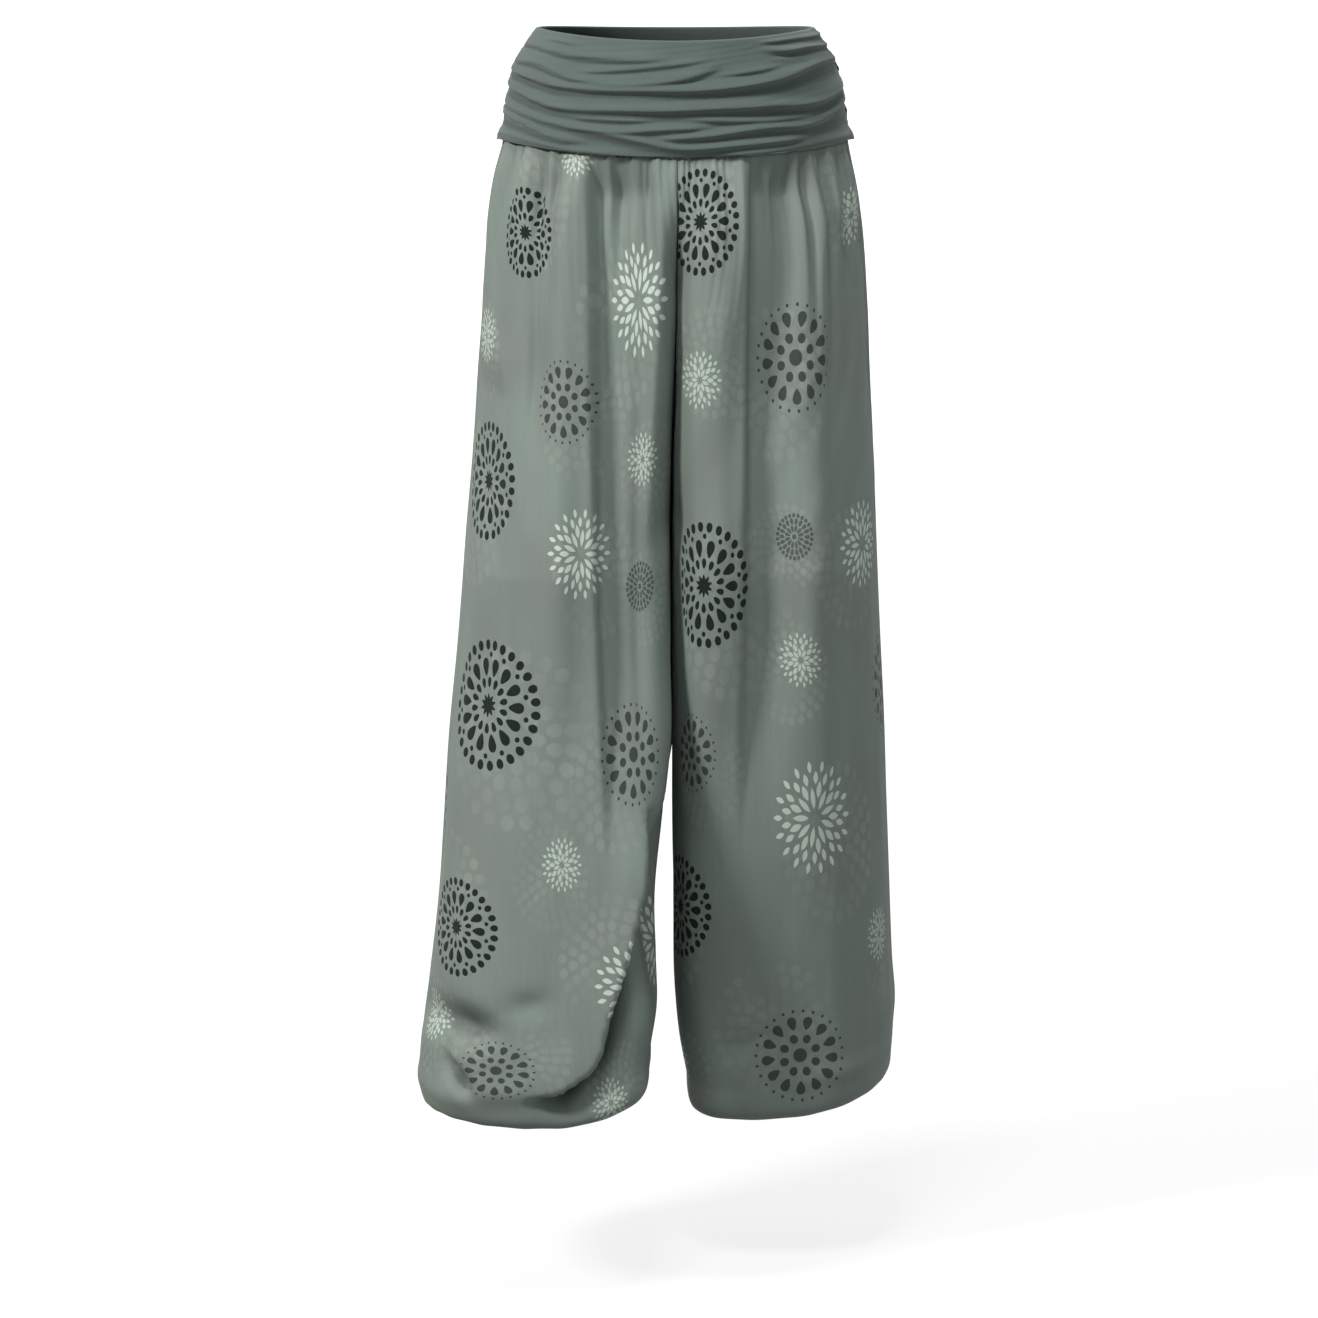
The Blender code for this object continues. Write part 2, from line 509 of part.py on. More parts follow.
def lip_shape(x, z):
    """The forward leg's bag lip: a bulge on one side of the lip line and a deep tuck on the other."""
    stations = np.linspace(0, 1, len(LIP_LINE))
    fine = np.linspace(0, 1, LIP_SAMPLES)
    line_x = smooth_curve(fine, stations, column_of(LIP_LINE, "x"))
    line_z = smooth_curve(fine, stations, column_of(LIP_LINE, "z"))
    gap_x = x[..., None] - line_x
    gap_z = z[..., None] - line_z
    nearest = np.argmin(gap_x**2 + gap_z**2, axis=-1)
    run_x, run_z = np.gradient(line_x)[nearest], np.gradient(line_z)[nearest]
    gx = np.take_along_axis(gap_x, nearest[..., None], -1)[..., 0]
    gz = np.take_along_axis(gap_z, nearest[..., None], -1)[..., 0]
    # Positive on the inner, lower side of the line.
    aside = (run_x * gz - run_z * gx) / np.hypot(run_x, run_z)
    far = np.hypot(gx, gz)
    inside = ease(aside, -LIP_EDGE, LIP_EDGE)
    ends = ease(fine[nearest], *LIP_START_FADE) * ease(fine[nearest], *LIP_END_FADE)
    bulge = LIP_BULGE * np.exp(-((far / LIP_BULGE_WIDTH) ** 2)) * (1 - inside)
    tuck = TUCK_DEPTH * np.exp(-((far / TUCK_WIDTH) ** 2)) * inside
    return (bulge - tuck) * ends


def fold_height(side, face, along, down, base):
    """How far the cloth stands out from the smooth form: gathers at both ends, large folds between."""
    across, lengthways = along[None, :], down[:, None]
    waist = np.cos(2 * math.pi * WAIST_GATHERS * across) * WAIST_GATHER_DEPTH / 2
    strength = WAIST_GATHER_LEAST + (1 - WAIST_GATHER_LEAST) * ease(lengthways, *WAIST_GATHER_GROWTH)
    hem = np.cos(2 * math.pi * HEM_GATHERS * across) * HEM_GATHER_DEPTH / 2
    height = waist * strength * ease(lengthways, *WAIST_GATHER_FADE)
    height = height + hem * ease(lengthways, *HEM_GATHER_GROWTH)
    x, z = base[:, :, 0], base[:, :, 2]
    shown = ease(lengthways, *FOLDS_UNDER_FADE) * ease(across, *FOLDS_INNER_FADE)
    for fold in FOLDS:
        if (fold.side, fold.face) == (side, face):
            height = height + fold_line_shape(fold, x, z) * shown
    if (side, face) == (RIGHT, FRONT):
        shown = ease(lengthways, *LIP_UNDER_FADE) * ease(across, *LIP_INNER_FADE)
        height = height + lip_shape(x, z) * shown
    return height


def valley_share(base):
    """The share of its way to the middle by which the cloth sinks to form the valley between the legs."""
    x, z = base[:, :, 0], base[:, :, 2]
    shown = ease(z, *VALLEY_TOP_FADE) * ease(z, *VALLEY_LOW_FADE)
    return VALLEY_SHARE * shown * np.exp(-((x / VALLEY_WIDTH) ** 2))


def panel_wall(side, face, along, down, wall):
    """Outer and inner points of a leg panel's cloth. Nothing crosses the middle plane between the legs."""
    base = base_grid(side, face, along, down)
    normal = normals_of(side, face, along, down)
    # Along the side seam and the inner seam the wall's edge lies across the leg, so that front and back
    # stay a seam's gap apart.
    below_crotch = ease(base[:, 0, 2], CROTCH_Z + NORMAL_TURN, CROTCH_Z)
    normal[:, 0, 1] *= 1 - below_crotch
    normal[:, -1, 1] = 0.0
    normal /= np.linalg.norm(normal, axis=-1, keepdims=True)
    outer = base + normal * fold_height(side, face, along, down, base)[..., None]
    if face == FRONT:
        outer[:, :, 1] *= 1 - valley_share(base)
    inner = outer - normal * wall
    # The last edge stands upright beside the casing.
    outer[-1, :, :2] = base[-1, :, :2]
    inner[-1, :, :2] = base[-1, :, :2]
    inner[-1, :, 2] = outer[-1, :, 2] + wall
    for points in (outer, inner):
        points[:, :, 0] = side * np.maximum(side * points[:, :, 0], SEAM_GAP / 2)
    return outer, inner


def make_panel(name, side, face, material):
    """One leg panel, from the waist seam to the ankle casing."""
    along = np.linspace(0, 1, LEG_COLUMNS + 1)
    under = 1 + np.linspace(0, 1, len(BAG_PROFILE))[1:]
    down = np.concatenate([WALL_ROWS, under])
    outer, inner = panel_wall(side, face, along, down, LEG_WALL)
    return wall_object(name, outer, inner, material)


def make_casing(name, side, material):
    """The gathered hem round one ankle: a ring whose outside the leg's cloth meets near its top."""
    along = np.linspace(0, 1, LEG_COLUMNS + 1)
    front = ring_point(side, FRONT, along, ANKLE_RADIUS)
    back = ring_point(side, BACK, along, ANKLE_RADIUS)
    ring = np.concatenate([front, back[-2:0:-1]])
    centre = np.array([ANKLES[side].x, ANKLES[side].y])
    inward = (centre - ring) / np.linalg.norm(centre - ring, axis=1, keepdims=True)
    top = ANKLES[side].lowest + BAG_PROFILE[-1].height + CASING_ABOVE
    heights = (top, top - CASING_HEIGHT)
    outer = np.array([np.column_stack([ring, np.full(len(ring), z)]) for z in heights])
    inner = outer.copy()
    inner[:, :, :2] += inward * CASING_WALL
    return wall_object(name, outer, inner, material, closed_ring=True)


def main():
    for old in list(bpy.data.objects):
        bpy.data.objects.remove(old)
    jersey = cloth_material("jersey", COLOUR_JERSEY, 0.80)
    viscose = cloth_material("viscose", COLOUR_VISCOSE, 0.75)
    make_band("waistband_front", FRONT, jersey)
    make_band("waistband_back", BACK, jersey)
    for side, side_name in ((RIGHT, "right"), (LEFT, "left")):
        for face, face_name in ((FRONT, "front"), (BACK, "back")):
            make_panel(f"leg_{side_name}_{face_name}", side, face, viscose)
        make_casing(f"ankle_casing_{side_name}", side, viscose)


main()
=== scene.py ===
"""Harem pants dressed in their cloth: a ruched jersey band over printed viscose legs, on a pale floor.

Each cut piece of the pants is one thin closed shell on the form of its solid. The form is a smooth
surface of two parameters, and the folds move it along its own normals.
"""

import logging
import math
from dataclasses import dataclass, field
from enum import Enum

import bpy
import numpy as np
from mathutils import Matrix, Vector


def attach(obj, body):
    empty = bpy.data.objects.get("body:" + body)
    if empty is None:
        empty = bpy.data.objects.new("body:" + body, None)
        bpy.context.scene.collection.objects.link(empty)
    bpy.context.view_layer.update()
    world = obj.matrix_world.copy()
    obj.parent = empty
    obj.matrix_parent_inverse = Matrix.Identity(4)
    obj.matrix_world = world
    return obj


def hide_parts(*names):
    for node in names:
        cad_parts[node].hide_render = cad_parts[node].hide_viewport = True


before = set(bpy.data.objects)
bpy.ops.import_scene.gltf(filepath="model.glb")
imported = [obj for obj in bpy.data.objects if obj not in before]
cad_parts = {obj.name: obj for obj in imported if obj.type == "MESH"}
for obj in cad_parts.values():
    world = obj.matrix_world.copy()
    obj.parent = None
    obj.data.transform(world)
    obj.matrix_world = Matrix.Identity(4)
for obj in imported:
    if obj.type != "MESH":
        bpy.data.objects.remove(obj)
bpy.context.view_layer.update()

LOG = logging.getLogger("pants")
SEAM_GAP = 0.0003
TURN = 2 * math.pi


class Side(Enum):
    """The wearer's right leg lies at -X, the left one at +X."""

    RIGHT = -1
    LEFT = 1


class Face(Enum):
    """The front of the pants faces -Y."""

    FRONT = -1
    BACK = 1


class Motif(Enum):
    """The rounds printed on the legs."""

    STAR = 1
    DOTS = 2
    BURST = 3
    POSY = 4
    ROSETTE = 5


# ---- Curves ----------------------------------------------------------------------------------------
def smooth_curve(at: np.ndarray, stations: np.ndarray, values: np.ndarray) -> np.ndarray:
    """Cubic Hermite curve through the stations; each slope is the neighbours' mean slope.

    Args:
        at: places to read the curve at.
        stations: places of the given values, rising or falling.
        values: the values there.

    Returns:
        The curve's value at each place.
    """
    order = np.argsort(stations)
    stations = np.asarray(stations, float)[order]
    values = np.asarray(values, float)[order]
    slopes = np.gradient(values, stations)
    at = np.clip(at, stations[0], stations[-1])
    i = np.clip(np.searchsorted(stations, at) - 1, 0, len(stations) - 2)
    width = stations[i + 1] - stations[i]
    s = (at - stations[i]) / width
    rising = s * s * (3 - 2 * s)
    left = values[i] * (1 - rising) + slopes[i] * width * s * (1 - s) ** 2
    right = values[i + 1] * rising - slopes[i + 1] * width * s * s * (1 - s)
    return left + right


def ease(at: np.ndarray, low: float, high: float) -> np.ndarray:
    """Smooth step: 3s^2 - 2s^3 of the share s of the way from low, 0, to high, 1; low may be the higher."""
    s = np.clip((at - low) / (high - low), 0, 1)
    return s * s * (3 - 2 * s)


def column_of(rows: tuple, name: str) -> np.ndarray:
    """One named field of a table of dataclass rows, as an array."""
    return np.array([getattr(row, name) for row in rows])


def ripple(a: np.ndarray, b: np.ndarray, seed: int, waves: int = 5) -> np.ndarray:
    """Uneven soft relief: a mean of sines of a and b with seeded directions and phases, within -1 to 1.

    Args:
        a: first coordinate, in wavelengths.
        b: second coordinate, in wavelengths.
        seed: chooses the pattern.
        waves: how many sines are added.

    Returns:
        The relief at each place.
    """
    pick = np.random.default_rng(seed)
    total = 0.0
    for _ in range(waves):
        across, along = pick.uniform(0.6, 1.5) * pick.choice([-1, 1]), pick.uniform(0.5, 1.4)
        total = total + np.sin(TURN * (across * a + along * b) + pick.uniform(0, TURN))
    return total / waves


# ---- Shells ----------------------------------------------------------------------------------------
@dataclass
class Shell:
    """A closed thin wall between two grids of points, with its cloth coordinates and its print.

    Attributes:
        name: the piece's name.
        outer: outside points, shape (rows, columns, 3).
        inner: inside points, same shape.
        cloth: distance across and down the cloth in metres, shape (rows, columns, 2).
        ring: whether the last column meets the first.
        marks: per-face vector attributes by name: a function of the face corners' cloth coordinates.
    """

    name: str
    outer: np.ndarray
    inner: np.ndarray
    cloth: np.ndarray
    ring: bool = False
    marks: dict = field(default_factory=dict)

    def faces(self) -> np.ndarray:
        """Quads of both sides and of the rims: index grids shifted by one row and one column."""
        rows, columns = self.outer.shape[:2]
        index = np.arange(rows * columns).reshape(rows, columns)
        if self.ring:
            index = np.concatenate([index, index[:, :1]], axis=1)
        other = rows * columns
        a, b, c, d = index[:-1, :-1], index[:-1, 1:], index[1:, 1:], index[1:, :-1]
        parts = [np.stack([a, b, c, d], -1), np.stack([a, d, c, b], -1) + other]
        top, low = index[0], index[-1]
        parts.append(np.stack([top[1:], top[:-1], top[:-1] + other, top[1:] + other], -1))
        parts.append(np.stack([low[:-1], low[1:], low[1:] + other, low[:-1] + other], -1))
        if not self.ring:
            left, right = index[:, 0], index[:, -1]
            parts.append(np.stack([left[:-1], left[1:], left[1:] + other, left[:-1] + other], -1))
            parts.append(np.stack([right[1:], right[:-1], right[:-1] + other, right[1:] + other], -1))
        return np.concatenate([part.reshape(-1, 4) for part in parts])

    def build(self, material: bpy.types.Material) -> bpy.types.Object:
        """Makes the mesh object, outside out, with its UV map and attributes.

        Args:
            material: the cloth's finish.

        Returns:
            The new object, linked to the scene.
        """
        points = np.concatenate([self.outer.reshape(-1, 3), self.inner.reshape(-1, 3)])
        faces = self.faces()
        corner = points[faces]
        turned = np.cross(corner[:, 2] - corner[:, 0], corner[:, 3] - corner[:, 1])
        if np.einsum("ij,ij->", corner.mean(axis=1), turned) < 0:
            faces = faces[:, ::-1]
        mesh = bpy.data.meshes.new(self.name)
        mesh.vertices.add(len(points))
        mesh.vertices.foreach_set("co", points.astype(np.float32).ravel())
        mesh.loops.add(faces.size)
        mesh.loops.foreach_set("vertex_index", faces.astype(np.int32).ravel())
        mesh.polygons.add(len(faces))
        mesh.polygons.foreach_set("loop_start", np.arange(0, faces.size, 4, dtype=np.int32))
        mesh.polygons.foreach_set("use_smooth", np.ones(len(faces), dtype=bool))
        mesh.update(calc_edges=True)
        flat = np.concatenate([self.cloth.reshape(-1, 2)] * 2)[faces]
        layer = mesh.uv_layers.new(name="cloth")
        layer.data.foreach_set("uv", flat.astype(np.float32).ravel())
        for name, marker in self.marks.items():
            made = mesh.attributes.new(name=name, type="FLOAT_VECTOR", domain="CORNER")
            made.data.foreach_set("vector", marker(flat).astype(np.float32).ravel())
        mesh.materials.append(material)
        piece = bpy.data.objects.new(self.name, mesh)
        bpy.context.scene.collection.objects.link(piece)
        return piece


# ---- Shader expressions ----------------------------------------------------------------------------
@dataclass
class NodeSheet:
    """A new material's nodes, with one method that makes any node.

    Attributes:
        name: the material's name.
        material: the material, made with the sheet.
    """

    name: str
    material: bpy.types.Material = field(init=False)

    def __post_init__(self) -> None:
        """Makes the material."""
        self.material = bpy.data.materials.new(self.name)
        self.material.use_nodes = True

    def node(self, kind: str, settings: dict | None = None, inputs: dict | None = None) -> bpy.types.Node:
        """Makes a node.

        Args:
            kind: the node's type.
            settings: properties, set first.
            inputs: values or links of its sockets, by name or number.

        Returns:
            The node.
        """
        made = self.material.node_tree.nodes.new(kind)
        for name, value in (settings or {}).items():
            setattr(made, name, value)
        self.feed(made, inputs or {})
        return made

    def feed(self, node: bpy.types.Node, inputs: dict) -> None:
        """Sets or links a node's sockets.

        Args:
            node: the node.
            inputs: values or links, by the sockets' names or numbers.
        """
        for name, value in inputs.items():
            source = value.socket if isinstance(value, Number) else value
            if isinstance(source, bpy.types.NodeSocket):
                self.material.node_tree.links.new(source, node.inputs[name])
            else:
                node.inputs[name].default_value = source

    def finished(self, inputs: dict) -> bpy.types.Material:
        """Feeds the Principled shader.

        Args:
            inputs: values or links of its sockets, by name.

        Returns:
            The finished material.
        """
        self.feed(self.material.node_tree.nodes["Principled BSDF"], inputs)
        return self.material

    def number(self, socket: bpy.types.NodeSocket) -> "Number":
        """Wraps a socket for use in expressions."""
        return Number(self, socket)

    def numbers(self, vector: bpy.types.NodeSocket) -> tuple:
        """The three parts of a vector, as numbers."""
        parts = self.node("ShaderNodeSeparateXYZ", {}, {0: vector})
        return tuple(self.number(socket) for socket in parts.outputs)

    def mix(self, share: "Number", first: object, second: object) -> bpy.types.NodeSocket:
        """Mixes two colours.

        Args:
            share: how much of the second shows.
            first: a colour or a colour socket.
            second: the same.

        Returns:
            The mixed colour's socket.
        """
        settings = {"data_type": "RGBA", "clamp_factor": True}
        return self.node("ShaderNodeMix", settings, {0: share, 6: first, 7: second}).outputs[2]

    def cloth_places(self) -> tuple:
        """Metres across and down the cloth, from its UV map, as numbers."""
        return self.numbers(self.node("ShaderNodeUVMap", {"uv_map": "cloth"}).outputs[0])[:2]

    def noise(self, across: "Number", down: "Number", detail: float) -> "Number":
        """Noise of two cloth coordinates that are already scaled."""
        place = self.node("ShaderNodeCombineXYZ", {}, {0: across, 1: down, 2: 0.0}).outputs[0]
        made = self.node("ShaderNodeTexNoise", {}, {"Vector": place, "Scale": 1.0, "Detail": detail})
        return self.number(made.outputs[0])

    def clouds(self, scale: float, tones: tuple) -> bpy.types.NodeSocket:
        """Faint clouds between two tones, on Object coordinates."""
        place = self.node("ShaderNodeTexCoord").outputs["Object"]
        cloud = self.node("ShaderNodeTexNoise", {}, {"Vector": place, "Scale": scale, "Detail": 2.0})
        return self.mix(self.number(cloud.outputs[0]), *tones)

    def bump(self, height: "Number", strength: float, distance: float) -> bpy.types.NodeSocket:
        """The normal of a relief whose height is a number."""
        inputs = {"Strength": strength, "Distance": distance, "Height": height}
        return self.node("ShaderNodeBump", {}, inputs).outputs[0]


@dataclass
class Number:
    """A number socket. Its operators add Math nodes."""

    sheet: NodeSheet
    socket: bpy.types.NodeSocket

    def math(self, operation: str, *others: object) -> "Number":
        """Applies a Math node to this number and the others."""
        made = self.sheet.node("ShaderNodeMath", {"operation": operation}, dict(enumerate((self, *others))))
        return Number(self.sheet, made.outputs[0])

    def reflected(self, operation: str, first: float) -> "Number":
        """Applies a Math node with a plain number first."""
        made = self.sheet.node("ShaderNodeMath", {"operation": operation}, {0: first, 1: self})
        return Number(self.sheet, made.outputs[0])

    def __add__(self, other: object) -> "Number":
        """Sum."""
        return self.math("ADD", other)

    __radd__ = __add__

    def __sub__(self, other: object) -> "Number":
        """Difference."""
        return self.math("SUBTRACT", other)

    def __rsub__(self, other: float) -> "Number":
        """Difference from a plain number."""
        return self.reflected("SUBTRACT", other)

    def __mul__(self, other: object) -> "Number":
        """Product."""
        return self.math("MULTIPLY", other)

    __rmul__ = __mul__

    def __truediv__(self, other: object) -> "Number":
        """Quotient."""
        return self.math("DIVIDE", other)

    def __rtruediv__(self, other: float) -> "Number":
        """Quotient of a plain number by this."""
        return self.reflected("DIVIDE", other)

    def __abs__(self) -> "Number":
        """Size without sign."""
        return self.math("ABSOLUTE")

    def within(self) -> "Number":
        """Clamped to 0 to 1."""
        made = self.sheet.node("ShaderNodeClamp", {}, {0: self})
        return Number(self.sheet, made.outputs[0])

    def most(self, other: object) -> "Number":
        """The larger of two."""
        return self.math("MAXIMUM", other)


# ---- Finishes --------------------------------------------------------------------------------------
@dataclass(frozen=True)
class Ring:
    """A ring of drops in a round motif, whose outer radius is 1.

    Attributes:
        count: drops all round.
        radius: distance of their middles from the motif's middle.
        length: half length, outwards.
        width: half width.
        taper: how much wider the outer end is; below zero the drop is pointed at both ends.
        shift: turn of the ring, in drops.
    """

    count: float
    radius: float
    length: float
    width: float
    taper: float
    shift: float = 0.0


MOTIF_RINGS = {
    Motif.STAR: (
        Ring(10, 0.090, 0.100, 0.036, -1.0),
        Ring(14, 0.355, 0.080, 0.048, 0.30),
        Ring(14, 0.590, 0.140, 0.078, 0.45, 0.5),
        Ring(14, 0.780, 0.042, 0.042, 0.0),
        Ring(28, 0.925, 0.080, 0.066, 0.10),
    ),
    Motif.DOTS: (
        Ring(1, 0.000, 0.150, 0.150, 0.0),
        Ring(8, 0.370, 0.096, 0.088, 0.15),
        Ring(13, 0.700, 0.145, 0.094, 0.45, 0.3),
        Ring(27, 0.960, 0.036, 0.032, 0.0),
    ),
    Motif.BURST: (
        Ring(9, 0.350, 0.190, 0.054, -1.0),
        Ring(9, 0.500, 0.150, 0.062, -1.0, 0.5),
        Ring(18, 0.700, 0.115, 0.056, -1.0),
        Ring(18, 0.895, 0.105, 0.048, -1.0, 0.5),
    ),
    Motif.POSY: (
        Ring(9, 0.270, 0.160, 0.066, -1.0),
        Ring(9, 0.480, 0.150, 0.084, -1.0, 0.5),
        Ring(18, 0.690, 0.120, 0.070, -1.0),
        Ring(18, 0.890, 0.105, 0.056, -1.0, 0.5),
    ),
    Motif.ROSETTE: (
        Ring(1, 0.000, 0.110, 0.110, 0.0),
        Ring(12, 0.340, 0.150, 0.070, 0.30),
        Ring(18, 0.640, 0.140, 0.082, 0.30, 0.5),
        Ring(26, 0.890, 0.095, 0.078, 0.10),
    ),
}
LEAST_DROP = 0.004
GHOST_RINGS = (
    Ring(9, 0.270, 0.090, 0.064, 0.15),
    Ring(15, 0.460, 0.085, 0.068, 0.15, 0.5),
    Ring(20, 0.650, 0.085, 0.072, 0.10),
    Ring(25, 0.835, 0.078, 0.070, 0.00, 0.5),
)


@dataclass(frozen=True)
class PrintedViscose:
    """Light woven viscose, grey green, printed with rounds in black, grey and white over pale shadows.

    Attributes:
        ground: the dyed ground.
        ground_light: its paler threads.
        black: ink of the star rounds.
        grey: ink of the dotted rounds.
        white: discharge white of the bursts.
        posy: the softer white of the small bursts.
        rosette: ink of the small lacy rounds.
        ghost: the pale shadows.
        warm: a greyer tone that clouds the ground.
        roughness: of the cloth.
        slub: waves a metre, across and down, of its uneven threads.
        cloud: the same of the ground's soft clouds.
        fibre: the same of its fibres.
        patch: the same of the greyer patches, and their shift across.
        faint: the same of where the shadows fade, and its shift down.
        thread: distance between threads, in metres.
        ghost_edge: how hard the edges of the shadows are.
        ink_edge: how hard the edges of the inks are.
    """

    ground: tuple = (0.150, 0.186, 0.164, 1.0)
    ground_light: tuple = (0.200, 0.242, 0.215, 1.0)
    black: tuple = (0.0050, 0.0075, 0.0060, 1.0)
    grey: tuple = (0.026, 0.029, 0.026, 1.0)
    white: tuple = (0.500, 0.572, 0.506, 1.0)
    posy: tuple = (0.440, 0.510, 0.445, 1.0)
    rosette: tuple = (0.042, 0.052, 0.046, 1.0)
    ghost: tuple = (0.250, 0.272, 0.246, 1.0)
    warm: tuple = (0.166, 0.172, 0.160, 1.0)
    roughness: float = 0.74
    slub: tuple = (260, 9)
    cloud: tuple = (11, 5)
    fibre: tuple = (900, 60)
    patch: tuple = (16, 9, 5.0)
    faint: tuple = (26, 22, 3.0)
    thread: float = 0.0011
    ghost_edge: float = 2.0
    ink_edge: float = 7.0

    def material(self) -> bpy.types.Material:
        """Builds the finish: ground, shadows, inks, then weave and slubs as bump.

        Returns:
            The material.
        """
        sheet = NodeSheet("printed_viscose")
        across, down = sheet.cloth_places()
        slub = sheet.noise(across * self.slub[0], down * self.slub[1], 2.0)
        cloud = sheet.noise(across * self.cloud[0], down * self.cloud[1], 3.0)
        fibre = sheet.noise(across * self.fibre[0], down * self.fibre[1], 1.0)
        patch = sheet.noise(across * self.patch[0] + self.patch[2], down * self.patch[1], 2.0)
        faint = sheet.noise(across * self.faint[0], down * self.faint[1] + self.faint[2], 1.0)
        tone = (0.45 * slub + 0.75 * cloud + 0.35 * fibre - 0.28).within()
        colour = sheet.mix(tone, self.ground, self.ground_light)
        colour = sheet.mix((3.2 * patch - 1.45).within() * 0.55, colour, self.warm)
        ghost = self.rings(sheet, "ghost", Motif.STAR, GHOST_RINGS, self.ghost_edge)
        colour = sheet.mix(ghost * (1.4 * faint - 0.40).within(), colour, self.ghost)
        worn = 0.93 + 0.07 * fibre
        inks = (
            (Motif.BURST, self.white, 0.92),
            (Motif.POSY, self.posy, 0.85),
            (Motif.ROSETTE, self.rosette, 0.80),
            (Motif.DOTS, self.grey, 0.90),
            (Motif.STAR, self.black, 1.0),
        )
        for motif, ink, cover in inks:
            mask = self.rings(sheet, "motif", motif, MOTIF_RINGS[motif], self.ink_edge)
            colour = sheet.mix(mask * cover * worn, colour, ink)
        warp, weft = ((place * (TURN / self.thread)).math("SINE") for place in (across, down))
        height = 0.5 * (warp * weft) + 1.2 * slub + 0.8 * fibre
        return sheet.finished(
            {
                "Base Color": colour,
                "Roughness": self.roughness + 0.06 * (slub - 0.5),
                "Specular IOR Level": 0.10,
                "Sheen Weight": 0.03,
                "Sheen Roughness": 0.45,
                "Normal": sheet.bump(height, 0.30, 0.00035),
            }
        )

    @staticmethod
    def rings(sheet: NodeSheet, attribute: str, motif: Motif, rings: tuple, sharp: float) -> Number:
        """Mask of the drops in a motif's rings.

        The attribute holds the place in the motif, of radius 1, and the motif's number. In polar
        coordinates a drop is the set where q^2 + (t/w)^2 is under 1. There q is the distance from the ring
        over the half length, t is the distance aside and w is the half width, more at the outer end. A
        pointed drop is where |t|/w is under 1 - q^2.

        Args:
            sheet: the material's nodes.
            attribute: the attribute's name.
            motif: the motif that counts.
            rings: its rings.
            sharp: how hard the drops' edges are.

        Returns:
            The mask, 0 to 1.
        """
        place = sheet.node("ShaderNodeAttribute", {"attribute_name": attribute}).outputs["Vector"]
        x, y, number = sheet.numbers(place)
        radius = (x * x + y * y).math("SQRT")
        angle = y.math("ARCTAN2", x)
        inside = None
        for ring in rings:
            share = (angle * (ring.count / TURN) + ring.shift).math("FRACT") - 0.5
            aside = share * (TURN / ring.count) * radius if ring.count > 1 else radius * 0
            q = (radius - ring.radius) / ring.length
            if ring.taper < 0:
                depth = 1 - q * q - abs(aside) / ring.width
            else:
                aside = aside / (ring.width * (1 + ring.taper * q)).most(LEAST_DROP)
                depth = 1 - q * q - aside * aside
            inside = depth if inside is None else inside.most(depth)
        chosen = (1 - abs(number - motif.value) * 2).within()
        return (inside * sharp + 0.5).within() * chosen


@dataclass(frozen=True)
class RibJersey:
    """Soft knitted jersey with fine wales that run up the band.

    Attributes:
        deep: the yarn's darker tone.
        light: its lighter tone.
        roughness: of the knit.
        wale: distance between wales, in metres.
        course: distance between courses, in wales.
        heather: waves a metre, across and down, of the mixed yarn.
        cloud: the same of its soft clouds.
    """

    deep: tuple = (0.055, 0.076, 0.069, 1.0)
    light: tuple = (0.088, 0.117, 0.106, 1.0)
    roughness: float = 0.86
    wale: float = 0.0013
    course: float = 0.7
    heather: tuple = (700, 160)
    cloud: tuple = (20, 30)

    def material(self) -> bpy.types.Material:
        """Builds the finish: a heathered yarn with wales and courses as bump.

        Returns:
            The material.
        """
        sheet = NodeSheet("rib_jersey")
        across, down = sheet.cloth_places()
        heather = sheet.noise(across * self.heather[0], down * self.heather[1], 2.0)
        cloud = sheet.noise(across * self.cloud[0], down * self.cloud[1], 2.0)
        wales = (across * (TURN / self.wale)).math("SINE")
        courses = (down * (TURN / (self.course * self.wale)) + 1.4 * wales).math("SINE")
        tone = (0.45 * heather + 0.40 * cloud + 0.10 * wales + 0.05).within()
        height = 0.8 * wales + 0.5 * courses + 0.9 * heather
        return sheet.finished(
            {
                "Base Color": sheet.mix(tone, self.deep, self.light),
                "Roughness": self.roughness + 0.08 * (heather - 0.5),
                "Specular IOR Level": 0.22,
                "Sheen Weight": 0.22,
                "Sheen Roughness": 0.50,
                "Normal": sheet.bump(height, 0.35, 0.00040),
            }
        )


# ---- Waistband -------------------------------------------------------------------------------------
@dataclass(frozen=True)
class BandRow:
    """The body's outline under the band at one height."""

    z: float
    half_width: float
    half_depth: float


@dataclass(frozen=True)
class EdgeLine:
    """An edge round the waist: its height at the sides and its dips in the middle of front and back."""

    side: float
    front_dip: float
    back_dip: float

    def height(self, angle: np.ndarray) -> np.ndarray:
        """Height at each angle round the waist: the side's height less the dip times sine squared."""
        facing = np.sin(angle)
        return self.side - np.where(facing < 0, self.front_dip, self.back_dip) * facing**2


